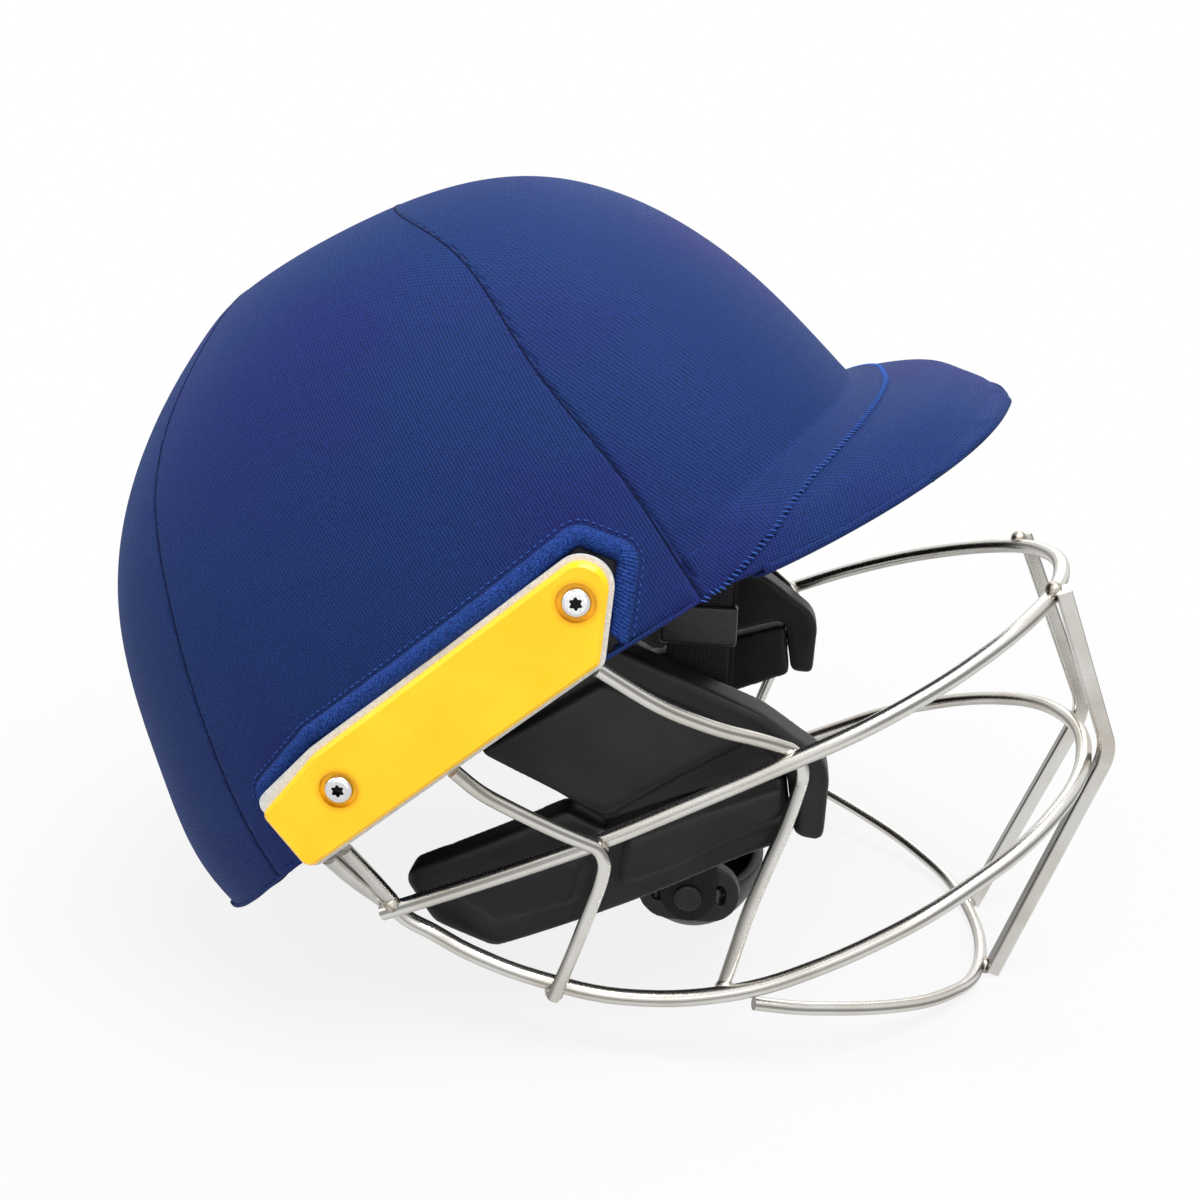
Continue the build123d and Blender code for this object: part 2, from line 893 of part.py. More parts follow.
hanging_pieces = []
strap_end = strap_length + strap_width / 2
with BuildPart() as chin_strap:
    with BuildSketch(Plane.YZ):
        with BuildLine():
            FilletPolyline(
                (-strap_out, strap_width / 2),
                (-strap_out, -strap_knee),
                (-strap_in, -strap_elbow),
                (-strap_in, -strap_end),
                radius=strap_width,
            )
            offset(amount=strap_wall / 2, side=Side.BOTH)
        make_face()
    extrude(amount=strap_width / 2, both=True)
    with BuildSketch(Plane.XZ):
        with Locations((0, -strap_length / 2)):
            SlotCenterToCenter(strap_length, strap_width, rotation=90)
    extrude(amount=2 * strap_out, mode=Mode.INTERSECT)
    with BuildSketch(Plane.XZ):
        Circle(pin_shank / 2 + strap_pin_gap)
        with Locations((0, -strap_length)):
            Circle(cup_stud / 2 + strap_pin_gap)
    extrude(amount=2 * strap_out, mode=Mode.SUBTRACT)
hanging_pieces.append((chin_strap, "chin_strap"))

# Slider that takes up the strap's length
slider_long = 22.0
slider_tall = 12.0
slider_wall = 4.4
slider_drop = 24.0
with BuildPart() as strap_slider:
    with Locations((0, -strap_out, -slider_drop)):
        Box(slider_long, slider_wall, slider_tall)
        fillet(strap_slider.edges(), radius=slider_wall / 4)
        Box(
            strap_width + 2 * running_gap,
            strap_wall + 2 * running_gap,
            2 * slider_tall,
            mode=Mode.SUBTRACT,
        )
hanging_pieces.append((strap_slider, "strap_slider"))

# Chin cup: a soft bowl with an ear and a button on each side
cup_drop = strap_length + 1.0
ear_outside = strap_in - strap_wall / 2 - running_gap
ear_inside = ear_outside - cup_wall - strap_wall
cup_hole = 7.0
cup_hole_spot = 10.0
button_head = 9.5
button_wall = 1.2
strap_cap = strap_in + strap_wall / 2 + running_gap


def cup_form(inset):
    """The cup as a half ellipsoid, drawn in by inset."""
    with BuildPart() as form:
        Sphere(1)
        scale(by=(cup_length - inset, cup_side - inset, cup_depth - inset))
    return form.part.moved(Location((0, 0, -cup_drop)))


with BuildPart() as chin_cup:
    add(cup_form(0))
    add(cup_form(cup_wall), mode=Mode.SUBTRACT)
    with Locations((0, 0, -cup_drop)):
        Box(
            3 * cup_length,
            3 * cup_side,
            2 * cup_depth,
            align=(Align.CENTER, Align.CENTER, Align.MIN),
            mode=Mode.SUBTRACT,
        )
    for side in (-1, 1):
        with BuildSketch(Plane.XZ.offset(-side * ear_inside)):
            with Locations((0, -strap_length)):
                SlotOverall(3 * cup_ear, 2 * cup_ear - strap_wall)
        extrude(amount=-side * (ear_outside - ear_inside))
        with BuildSketch(Plane.XZ.offset(-side * ear_outside)):
            with Locations((0, -strap_length)):
                Circle(cup_stud / 2)
        extrude(amount=-side * (strap_cap + button_wall - ear_outside))
        with BuildSketch(Plane.XZ.offset(-side * strap_cap)):
            with Locations((0, -strap_length)):
                Circle(button_head / 2)
        extrude(amount=-side * button_wall)
    with BuildSketch(Plane.XZ):
        with Locations((-cup_hole_spot, -strap_length), (cup_hole_spot, -strap_length)):
            SlotOverall(cup_hole, cup_hole / 2, rotation=90)
    extrude(amount=2 * cup_side, both=True, mode=Mode.SUBTRACT)


def hang(builder):
    """Move a piece from level coordinates at the pin into the helmet's own frame."""
    builder.part = builder.part.moved(hang_plane.location)


for builder, name in hanging_pieces:
    hang(builder)
    keep_pair(builder, name)
hang(chin_cup)
keep(chin_cup, "chin_cup")

# Tip the helmet back and set the middle of its footprint at the origin
tip_back = Location((0, 0, 0), (0, -degrees(rest_tilt), 0))
for piece in pieces:
    piece.part = piece.part.moved(tip_back)
boxes = [piece.part.bounding_box() for piece in pieces]
low_x = min(box.min.X for box in boxes)
high_x = max(box.max.X for box in boxes)
low_z = min(box.min.Z for box in boxes)
settle = Location((-(low_x + high_x) / 2, 0, -low_z))
pin_place = (tip_back * Location((pin_forward, 0, pin_height))).position + settle.position
print("tilt", round(degrees(rest_tilt), 3))
print("shift", round(settle.position.X, 4), round(settle.position.Z, 4))
print("strap pin", round(pin_place.X, 3), round(pin_place.Z, 3))
for piece in pieces:
    name = piece.part.label
    piece.part = piece.part.moved(settle)
    piece.part.label = name
    export_step(piece.part, "parts/" + name + ".step")
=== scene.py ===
"""The looks of a cloth-covered cricket helmet with a round-wire face guard."""

import json
import math

import bmesh
import bpy
import numpy as np
from mathutils import Matrix, Vector
from mathutils.bvhtree import BVHTree


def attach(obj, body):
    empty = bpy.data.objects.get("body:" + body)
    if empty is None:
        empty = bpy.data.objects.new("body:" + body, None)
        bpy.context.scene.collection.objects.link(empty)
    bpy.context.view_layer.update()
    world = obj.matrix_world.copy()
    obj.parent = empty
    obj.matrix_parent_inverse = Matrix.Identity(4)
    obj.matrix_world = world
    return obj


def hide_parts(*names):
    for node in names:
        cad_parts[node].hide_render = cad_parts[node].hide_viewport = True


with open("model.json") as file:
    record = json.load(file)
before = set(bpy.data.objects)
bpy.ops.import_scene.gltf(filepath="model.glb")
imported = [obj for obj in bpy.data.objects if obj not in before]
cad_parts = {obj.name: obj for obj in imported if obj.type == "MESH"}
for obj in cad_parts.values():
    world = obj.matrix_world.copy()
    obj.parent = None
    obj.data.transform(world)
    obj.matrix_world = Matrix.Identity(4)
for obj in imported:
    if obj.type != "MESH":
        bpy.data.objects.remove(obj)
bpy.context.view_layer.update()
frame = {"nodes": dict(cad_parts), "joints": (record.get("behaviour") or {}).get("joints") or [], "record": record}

# The attitude.  Every piece is laid out in the helmet's own level frame, in millimetres, and
# then tipped back on its nape like the real one.  The head's axis gives the tilt, and the pin
# of the chin strap says how far the whole helmet is shifted.
MM = 0.001
both_sides = (("right", 1), ("left", -1))
head_axis = frame["record"]["mounts"][0]["axis"]
tilt = math.atan2(head_axis[0], -head_axis[2])
strap_pin = (90.0, 10.0)
swing = next(joint for joint in frame["joints"] if joint["name"] == "chin_strap_swing")
pin_place = [value / MM for value in swing["pos_m"]]
shift_x = pin_place[0] - strap_pin[0] * math.cos(tilt) + strap_pin[1] * math.sin(tilt)
shift_z = pin_place[2] - strap_pin[0] * math.sin(tilt) - strap_pin[1] * math.cos(tilt)


def tipped(points):
    """Level millimetres to the frame's metres."""
    p = np.asarray(points, float).reshape(-1, 3)
    x = p[:, 0] * math.cos(tilt) - p[:, 2] * math.sin(tilt) + shift_x
    z = p[:, 0] * math.sin(tilt) + p[:, 2] * math.cos(tilt) + shift_z
    return np.column_stack([x, p[:, 1], z]) * MM


def tipped_ways(ways):
    """Level directions to the frame's."""
    return np.column_stack(
        [
            ways[:, 0] * math.cos(tilt) - ways[:, 2] * math.sin(tilt),
            ways[:, 1],
            ways[:, 0] * math.sin(tilt) + ways[:, 2] * math.cos(tilt),
        ]
    )


def hanging(points):
    """Millimetres from the strap's pin, hanging straight down, to the frame's metres."""
    p = np.asarray(points, float).reshape(-1, 3)
    return (p + (pin_place[0], 0, pin_place[2])) * MM


def shown_object(name, data):
    """A new object in the scene."""
    made = bpy.data.objects.new(name, data)
    bpy.context.scene.collection.objects.link(made)
    return made


weld_reach = 0.002


def add_piece(name, places, faces, finish, body="root", cad=()):
    """A mesh piece from places in metres, with its finish, body and CAD nodes."""
    mesh = bpy.data.meshes.new(name)
    mesh.from_pydata([tuple(p) for p in places], [], faces)
    work = bmesh.new()
    work.from_mesh(mesh)
    loose = [corner for corner in work.verts if not corner.link_faces]
    bmesh.ops.delete(work, geom=loose, context="VERTS")
    bmesh.ops.remove_doubles(work, verts=work.verts, dist=weld_reach * MM)
    bmesh.ops.dissolve_degenerate(work, edges=work.edges, dist=weld_reach * MM)
    work.to_mesh(mesh)
    work.free()
    mesh.validate()
    mesh.shade_smooth()
    piece = shown_object(name, mesh)
    mesh.materials.append(finish)
    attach(piece, body)
    if cad:
        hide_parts(*cad)
    return piece


def walked_along(points):
    """How far each point of a line lies along it."""
    return np.concatenate([[0], np.cumsum(np.linalg.norm(np.diff(points, axis=0), axis=1))])


def at_marks(marks, walked, points):
    """The places on a line at given distances along it."""
    return np.column_stack([np.interp(marks, walked, part) for part in np.transpose(points)])


def modify(piece, kind, **settings):
    """A modifier on a piece, with its settings."""
    modifier = piece.modifiers.new(kind.title(), kind)
    for key, value in settings.items():
        setattr(modifier, key, value)
    return modifier


def loft_faces(rows, columns, closed=False, keep=None):
    """Quads between rows of points; a closed loft joins the last column to the first."""
    faces = []
    for r in range(rows - 1):
        for c in range(columns if closed else columns - 1):
            if keep is None or keep[r, c]:
                d = (c + 1) % columns
                a = r * columns
                faces.append((a + c, a + d, a + columns + d, a + columns + c))
    return faces


def softened(node, name, finish, voxel, rounds, body="root"):
    """A moulded soft piece in a node's place: its solid, remeshed and smoothed."""
    mesh = frame["nodes"][node].data.copy()
    mesh.materials.clear()
    piece = shown_object(name, mesh)
    modify(piece, "WELD", merge_threshold=0.01 * MM)
    modify(piece, "REMESH", mode="VOXEL", voxel_size=voxel * MM, use_smooth_shade=True)
    modify(piece, "SMOOTH", factor=0.5, iterations=rounds)
    bpy.context.view_layer.update()
    shown = piece.evaluated_get(bpy.context.evaluated_depsgraph_get())
    piece.data = bpy.data.meshes.new_from_object(shown)
    piece.data.name = name
    piece.modifiers.clear()
    piece.data.materials.clear()
    piece.data.materials.append(finish)
    piece.data.shade_smooth()
    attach(piece, body)
    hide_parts(node)


# Finishes.  A shader's values are written as plain sums: Shade wraps the output of a node, and
# Finish is a material around one principled shader, with a method that adds any other node.
class Shade:
    """One output of a shader node, for use in plain arithmetic."""

    def __init__(self, finish, socket):
        self.finish = finish
        self.socket = socket

    def sum(self, operation, *values):
        return self.finish.node("Math", dict(enumerate(values)), operation=operation)

    def __abs__(self):
        return self.sum("ABSOLUTE", self)

    def sine(self):
        return self.sum("SINE", self)

    def between(self, low, high):
        """0 below low, 1 above high, and a straight ramp between them."""
        ramp = (self - low) * (1 / (high - low))
        return self.sum("MINIMUM", self.sum("MAXIMUM", ramp, 0.0), 1.0)


shade_signs = {
    "add": "ADD", "sub": "SUBTRACT", "mul": "MULTIPLY", "truediv": "DIVIDE", "pow": "POWER"
}


def signed(operation, turned):
    """A shade's method for a sign of arithmetic, with the shade before or after it."""

    def work(self, other):
        return self.sum(operation, *((other, self) if turned else (self, other)))

    return work


for sign, operation in shade_signs.items():
    setattr(Shade, f"__{sign}__", signed(operation, False))
    setattr(Shade, f"__r{sign}__", signed(operation, True))


class Finish:
    """A material around one principled shader."""

    def __init__(self, name, colour, rough, metal=0.0, **constants):
        self.material = bpy.data.materials.new(name)
        self.material.use_nodes = True
        self.tree = self.material.node_tree
        self.shader = self.tree.nodes["Principled BSDF"]
        self.shader.inputs["Base Color"].default_value = colour
        self.shader.inputs["Roughness"].default_value = rough
        self.shader.inputs["Metallic"].default_value = metal
        for key, value in constants.items():
            self.shader.inputs[key.replace("_", " ")].default_value = value

    def join(self, target, value):
        if isinstance(value, Shade):
            self.tree.links.new(value.socket, target)
        else:
            target.default_value = value

    def node(self, kind, sockets=(), output=0, **settings):
        """Any node: its settings first, then its sockets' values or links."""
        made = self.tree.nodes.new("ShaderNode" + kind)
        for key, value in settings.items():
            setattr(made, key, value)
        for key, value in dict(sockets).items():
            self.join(made.inputs[key], value)
        return Shade(self, made.outputs[output])

    def feed(self, **values):
        for key, value in values.items():
            self.join(self.shader.inputs[key.replace("_", " ")], value)

    def parts(self, vector):
        split = self.node("SeparateXYZ", {0: vector}).socket.node
        return [Shade(self, split.outputs[i]) for i in range(3)]

    def level(self):
        """The place on the piece in level millimetres, about the frame's origin."""
        where = self.node("TexCoord", output=3)
        size = (1 / MM, 1 / MM, 1 / MM)
        return self.node("Mapping", {"Vector": where, "Rotation": (0, tilt, 0), "Scale": size})

    def facing(self):
        """How far the surface faces forward, sideways and up, each from 0 to 1."""
        normal = self.node("TexCoord", output=1)
        turned = self.node("Mapping", {"Vector": normal, "Rotation": (0, tilt, 0)})
        return [abs(part) for part in self.parts(turned)]

    def noise(self, where, scale, detail=3.0, rough=0.55):
        sockets = {"Vector": where, "Scale": scale, "Detail": detail, "Roughness": rough}
        return self.node("TexNoise", sockets)

    def mix(self, share, first, second):
        sockets = {0: share, 6: first, 7: second}
        return self.node("Mix", sockets, output=2, data_type="RGBA")

    def bump(self, height, distance, strength=1.0):
        sockets = {"Height": height, "Distance": distance * MM, "Strength": strength}
        self.feed(Normal=self.node("Bump", sockets))


def seen(red, green, blue):
    """A colour given as it looks on a screen, 0 to 255."""
    return tuple(((c / 255 + 0.055) / 1.055) ** 2.4 for c in (red, green, blue)) + (1.0,)


def mottled(name, tones, cloud, grain, rough, relief, span=(0.3, 0.7), metal=0.0, **constants):
    """A finish whose colour clouds between two tones and whose roughness follows its grain."""
    finish = Finish(name, tones[0], rough[0], metal=metal, **constants)
    where = finish.level()
    share = finish.noise(where, *cloud).between(*span)
    marks = finish.noise(where, *grain)
    finish.feed(Base_Color=finish.mix(share, *tones), Roughness=rough[0] + marks * rough[1])
    finish.bump(marks, relief)
    return finish.material


def finish_node(name, finish):
    """Give a CAD node its finish."""
    piece = frame["nodes"][name]
    piece.data.materials.clear()
    piece.data.materials.append(finish)


# Hard shell and peak.  Moulded black plastic, seen only under the rim and through the openings
# of the cover; its surface has a fine moulded grain.
shell_plastic = mottled(
    "shell_plastic", (seen(20, 20, 23), seen(30, 30, 33)), (2.2, 2.0), (2.2, 2.0), (0.38, 0.2),
    0.08, Specular_IOR_Level=0.25,
)
finish_node("outer_shell", shell_plastic)

# Impact foam.  Beads of black foam moulded to the inside of the shell; the beads show as fine
# pebbles.
liner_foam = Finish("liner_foam", seen(32, 32, 34), 0.85, Specular_IOR_Level=0.15)
where = liner_foam.level()
beads = liner_foam.node("TexVoronoi", {"Vector": where, "Scale": 0.42})
# Painted shade: the colour is lighter on each bead and darker at its edges, where the bump is low
liner_foam.feed(
    Base_Color=liner_foam.mix(beads.between(0.2, 0.9), seen(40, 40, 42), seen(22, 22, 24))
)
liner_foam.bump(1 - beads, 0.35)
finish_node("foam_liner", liner_foam.material)

# Comfort pads.  Soft foam under brushed black lining cloth, stuck inside the impact foam at the
# brow, the crown, the nape and both temples.
lining_cloth = Finish(
    "lining_cloth", seen(26, 26, 28), 0.9, Sheen_Weight=0.1, Specular_IOR_Level=0.1
)
where = lining_cloth.level()
nap = lining_cloth.noise(where, 3.0, detail=4.0)
patch = lining_cloth.noise(where, 0.08)
worn = (nap + patch - 0.5).between(0.3, 0.7)
lining_cloth.feed(Base_Color=lining_cloth.mix(worn, seen(17, 17, 19), seen(32, 32, 35)))
lining_cloth.bump(nap, 0.2)
comfort_voxel, comfort_rounds = 1.6, 14
for pad in ("brow_pad", "crown_pad", "nape_pad", "temple_pad_right", "temple_pad_left"):
    softened(
        pad, pad.replace("pad", "cushion"), lining_cloth.material,
        comfort_voxel, comfort_rounds,
    )

# Stretch cover.  Fine navy weft knit pulled tight over shell and peak, cut in a front, a crown
# and a rear panel and a cap for the peak.  The shell's outline is a stack of level rings, given
# as shares of height, front, rear and side; the peak has rings of its own.
dome_front, dome_rear, dome_side, dome_height = 151.5, 119.0, 105.0, 144.5
crown_lean = 10.0
dome_ring_shares = (
    (-0.25, 1.015, 1.036, 0.885),
    (0.0, 1.0, 1.0, 0.99),
    (0.224, 0.954, 0.918, 0.996),
    (0.425, 0.908, 0.823, 0.956),
    (0.603, 0.840, 0.710, 0.870),
    (0.754, 0.745, 0.542, 0.738),
    (0.873, 0.613, 0.333, 0.566),
    (0.954, 0.416, 0.152, 0.361),
    (0.9945, 0.149, 0.039, 0.129),
)
peak_reach, peak_root, peak_side, peak_tail, peak_top = 183.6, 80.0, 88.6, 40.0, 24.0
peak_ring_shares = (
    (-0.917, 0.975, 0.985),
    (-0.667, 0.986, 0.993),
    (-0.417, 1.0, 1.0),
    (-0.083, 0.989, 1.0),
    (0.208, 0.961, 0.988),
    (0.458, 0.929, 0.965),
    (0.667, 0.869, 0.926),
    (0.833, 0.80, 0.858),
    (1.0, 0.70, 0.72),
)
shoulder_share = 0.735


def spline(knots, values, places, closed=False):
    """A smooth curve through values at knots; a closed one comes back to its first value."""
    knots = np.asarray(knots, float)
    values = np.asarray(values, float)
    flat = values.reshape(len(values), -1)
    gaps = np.diff(knots)
    count = len(gaps)
    size = count if closed else count + 1
    system = np.zeros((size, size))
    right = np.zeros((size, flat.shape[1]))
    for i in range(size):
        if not closed and i in (0, count):
            system[i, i] = 1
            continue
        before, after = gaps[i - 1], gaps[i % count]
        system[i, (i - 1) % size] += before
        system[i, i] += 2 * (before + after)
        system[i, (i + 1) % size] += after
        ahead = flat[(i + 1) % size]
        right[i] = 6 * ((ahead - flat[i]) / after - (flat[i] - flat[i - 1]) / before)
    bend = np.linalg.solve(system, right)
    if closed:
        flat = np.vstack([flat, flat[:1]])
        bend = np.vstack([bend, bend[:1]])
    places = np.asarray(places, float)
    span = np.clip(np.searchsorted(knots, places, side="right") - 1, 0, count - 1)
    width = gaps[span][:, None]
    past = (places - knots[span])[:, None]
    left = width - past
    result = (
        (bend[span] * left**3 + bend[span + 1] * past**3) / (6 * width)
        + (flat[span] / width - bend[span] * width / 6) * left
        + (flat[span + 1] / width - bend[span + 1] * width / 6) * past
    )
    return result.reshape((len(places),) + values.shape[1:])


def ring(station, front, rear, side, samples=720):
    """A level outline: blunt ends at front and rear, widest at its station."""
    forward = station + (front - station) * shoulder_share
    backward = station - (station + rear) * shoulder_share
    out = side * shoulder_share
    corners = [
        (front, 0),
        (forward, out),
        (station, side),
        (backward, out),
        (-rear, 0),
        (backward, -out),
        (station, -side),
        (forward, -out),
    ]
    steps = np.linalg.norm(np.roll(corners, -1, 0) - corners, axis=1)
    knots = np.concatenate([[0], np.cumsum(steps)])
    places = np.linspace(0, knots[-1], samples, endpoint=False)
    return spline(knots, corners, places, closed=True)


cover_columns = 420
cover_rows = 170
turns = np.linspace(-math.pi, math.pi, cover_columns, endpoint=False)


def reach_of(outline):
    """How far an outline lies from the crown's axis in each column's direction."""
    turn = np.arctan2(outline[:, 1], outline[:, 0] - crown_lean)
    reach = np.hypot(outline[:, 1], outline[:, 0] - crown_lean)
    order = np.argsort(turn)
    return np.interp(turns, turn[order], reach[order], period=2 * math.pi)


peak_cut = 55.0
dome_reaches = []
for rise, front, rear, side in dome_ring_shares:
    station = crown_lean * rise**6
    outline = ring(station, dome_front * front, dome_rear * rear, dome_side * side)
    dome_reaches.append(reach_of(outline))
dome_reaches.append(np.zeros(cover_columns))
dome_levels = [dome_height * shares[0] for shares in dome_ring_shares] + [dome_height]
side_column = cover_columns // 4
climb = np.hypot(np.diff(dome_levels), np.diff([reach[side_column] for reach in dome_reaches]))
climb = np.concatenate([[0], np.cumsum(climb)])
fine_climb = np.linspace(0, climb[-1], 1200)
fine_reaches = spline(climb, dome_reaches, fine_climb)
fine_levels = np.maximum.accumulate(spline(climb, dome_levels, fine_climb))
fine_levels += np.linspace(0, 1e-6, len(fine_levels))

peak_reaches = []
for rise, reach, side in peak_ring_shares:
    outline = ring(peak_root, peak_reach * reach, -peak_tail, peak_side * side)
    outline = outline[outline[:, 0] > peak_cut]
    around = reach_of(outline)
    limit = np.abs(np.arctan2(outline[:, 1], outline[:, 0] - crown_lean)).max()
    around[np.abs(turns) > limit] = 0
    peak_reaches.append(around)
peak_levels = [peak_top * shares[0] for shares in peak_ring_shares]
fine_peak_levels = np.linspace(peak_levels[0], peak_levels[-1], 400)
fine_peak_reaches = spline(peak_levels, peak_reaches, fine_peak_levels)


def look_up(table, index):
    """Values of a fine table between its rows, one per column."""
    index = np.clip(index, 0, len(table) - 1.001)
    low = index.astype(int)
    part = index - low
    column = np.broadcast_to(np.arange(cover_columns), index.shape)
    return table[low, column] * (1 - part) + table[low + 1, column] * part


def dome_reach(level):
    return look_up(fine_reaches, np.interp(level, fine_levels, np.arange(len(fine_levels))))


junction_softness = 9.0


def cover_reach(level):
    """The shell and the peak as one skin, with a soft hollow where they meet."""
    dome = dome_reach(level)
    step = fine_peak_levels[1] - fine_peak_levels[0]
    peak = look_up(fine_peak_reaches, (level - fine_peak_levels[0]) / step)
    share = np.clip(0.5 + 0.5 * (dome - peak) / junction_softness, 0, 1)
    soft = peak + (dome - peak) * share + junction_softness * share * (1 - share)
    return np.maximum(dome, np.where(level > peak_top, dome, soft))


# Rim of the shell and lower edge of the peak, seen from the side
rim_line = (
    (-130.0, -31.5),
    (-121.0, -27.0),
    (-117.0, -22.5),
    (-94.0, -13.0),
    (-58.0, -5.0),
    (-20.0, 0.0),
    (12.0, 3.0),
    (50.0, 5.4),
    (91.0, 4.0),
    (153.0, 5.0),
)
peak_edge = ((92.0, 4.9), (184.0, -6.6))
settling_turns = 40


def rim_height(x):
    knots, heights = np.transpose(rim_line)
    return spline(knots, heights, np.clip(x, knots[0], knots[-1]))


def edge_heights(reach, with_peak):
    """The height of the skin's lower edge in each column."""
    height = np.zeros(cover_columns)
    for turn in range(settling_turns):
        x = crown_lean + reach(height[None, :])[0] * np.cos(turns)
        wanted = rim_height(x)
        if with_peak:
            wanted = np.where(x > peak_edge[0][0], np.interp(x, *np.transpose(peak_edge)), wanted)
        height = (height + wanted) / 2
    return height


cover_foot = edge_heights(cover_reach, True)
rim_foot = edge_heights(dome_reach, False)


def skin(reach, foot, top, rows):
    """Rows of points from the foot up to the top, evenly spaced along each column."""
    share = np.linspace(0, 1, 900)[:, None]
    level = foot + (top - foot) * (1 - np.cos(share * math.pi / 2)) ** 0.8
    out = reach(level)
    if top == dome_height:
        out[-1] = 0
    grid = np.zeros((rows, cover_columns, 3))
    for c in range(cover_columns):
        walked = np.hypot(np.diff(out[:, c]), np.diff(level[:, c]))
        walked = np.concatenate([[0], np.cumsum(walked)])
        marks = np.linspace(0, walked[-1], rows)
        across = np.interp(marks, walked, out[:, c])
        grid[:, c, 0] = crown_lean + across * math.cos(turns[c])
        grid[:, c, 1] = across * math.sin(turns[c])
        grid[:, c, 2] = np.interp(marks, walked, level[:, c])
    return grid


cover = skin(cover_reach, cover_foot, dome_height, cover_rows)
bare_drop = 4.0
bare = skin(dome_reach, rim_foot - bare_drop, dome_height, cover_rows)

# The cloth lies on the hard shell: where the shell itself is a little fuller or flatter than the
# rings say, the skin is moved in or out to stay one cloth's thickness from it
shell_gap, trusted_gap, smoothing_turns = 1.4, 4.0, 3
heart = Vector((crown_lean, 0.0, 15.0))


def skin_faces(keep=None, rows=cover_rows):
    """The quads of a skin, or of the part of it that is kept."""
    return loft_faces(rows, cover_columns, closed=True, keep=keep)


cover_faces = skin_faces()


def level_places(node):
    """The corners of a CAD node in level millimetres."""
    p = np.array([vertex.co for vertex in frame["nodes"][node].data.vertices]) / MM
    p -= (shift_x, 0, shift_z)
    x = p[:, 0] * math.cos(tilt) + p[:, 2] * math.sin(tilt)
    z = p[:, 2] * math.cos(tilt) - p[:, 0] * math.sin(tilt)
    return np.column_stack([x, p[:, 1], z])


shell_faces = [tuple(face.vertices) for face in frame["nodes"]["outer_shell"].data.polygons]
shell_corners = [Vector(corner) for corner in level_places("outer_shell")]
shell_tree = BVHTree.FromPolygons(shell_corners, shell_faces)
bare_tree = BVHTree.FromPolygons([Vector(p) for p in bare.reshape(-1, 3)], cover_faces)
stand_off = np.full((cover_rows, cover_columns), np.nan)
above_bare = np.zeros((cover_rows, cover_columns))
for r in range(cover_rows):
    for c in range(cover_columns):
        arm = Vector(cover[r, c]) - heart
        reach, way = arm.length, arm.normalized()
        shell = shell_tree.ray_cast(heart + way * 2 * peak_reach, -way)
        plain = bare_tree.ray_cast(heart, way)
        if shell[0] and plain[0]:
            wanted = (shell[0] - heart).length + shell_gap / max(0.5, abs(way @ shell[1]))
            stand_off[r, c] = wanted - (plain[0] - heart).length
            above_bare[r, c] = reach - (plain[0] - heart).length
for c in range(cover_columns):
    known = np.flatnonzero(np.abs(stand_off[:, c]) < trusted_gap)
    stand_off[:, c] = np.interp(np.arange(cover_rows), known, stand_off[known, c])
for turn in range(smoothing_turns):
    stand_off = (stand_off + np.roll(stand_off, 1, 1) + np.roll(stand_off, -1, 1)) / 3
fade_height = 14.0
share = np.clip(1 - above_bare / fade_height, 0, 1)[..., None]
arms = cover - np.array(heart)
arms /= np.linalg.norm(arms, axis=2)[..., None]
cover += arms * stand_off[..., None] * share

# The soft fold that the pulled cloth makes beside the root of the peak
fold_line = ((97.0, -86.0, 24.0), (108.0, -79.0, 14.5), (121.0, -70.0, 19.0))
fold_rise, fold_width = 1.1, 4.2
outward = cover - (crown_lean, 0, 0)
outward /= np.linalg.norm(outward, axis=2)[..., None] + 1e-9
for start, end in zip(fold_line[:-1], fold_line[1:]):
    for sign in (1, -1):
        head, tail = np.array(start) * (1, sign, 1), np.array(end) * (1, sign, 1)
        run = tail - head
        along = np.clip(((cover - head) @ run) / (run @ run), 0, 1)
        gap = np.linalg.norm(cover - head - along[..., None] * run, axis=2)
        cover += outward * (fold_rise / 2 * np.exp(-((gap / fold_width) ** 2)))[..., None]

cover_tree = BVHTree.FromPolygons([Vector(p) for p in cover.reshape(-1, 3)], cover_faces)

# Seams, seen from the side: shares of front or rear and of the height
front_seam_shares = (
    (0.60, -0.25),
    (0.59, 0.05),
    (0.58, 0.31),
    (0.545, 0.54),
    (0.535, 0.64),
    (0.495, 0.80),
    (0.40, 0.938),
    (0.30, 1.06),
)
rear_seam_shares = (
    (-0.51, -0.25),
    (-0.487, -0.02),
    (-0.40, 0.31),
    (-0.30, 0.59),
    (-0.17, 0.83),
    (-0.015, 0.95),
    (0.10, 1.06),
)
front_seam = np.array(front_seam_shares) * (dome_front, dome_height)
rear_seam = np.array(rear_seam_shares) * (dome_rear, dome_height)
cap_seam_shares = (
    (0.59, 0.026),
    (0.622, 0.031),
    (0.68, 0.048),
    (0.735, 0.064),
    (0.796, 0.089),
    (0.847, 0.102),
    (0.914, 0.110),
    (0.98, 0.116),
    (1.04, 0.120),
)
cap_seam = np.array(cap_seam_shares) * (dome_front, dome_height)


def seam_x(seam, height):
    return spline(seam[:, 1], seam[:, 0], np.ravel(height)).reshape(np.shape(height))


# Each side plate sits in an opening that follows its outline.  The corners are shares of the
# plate's half length and of its rise, on a plane that is turned in a little at the front.
plate_middle, plate_face, plate_height, plate_yaw = 22.0, 109.0, 17.5, math.radians(4.6)
plate_half, plate_rise = 56.0, 14.0
plate_corner_shares = (
    (-1.064, 0.04),
    (-1.04, -1.33),
    (0.70, -0.79),
    (0.973, 0.536),
    (0.875, 1.08),
    (-0.68, 0.507),
)
plate_corners = np.array(plate_corner_shares) * (plate_half, plate_rise)
binding_inside, binding_width = 1.3, 4.8


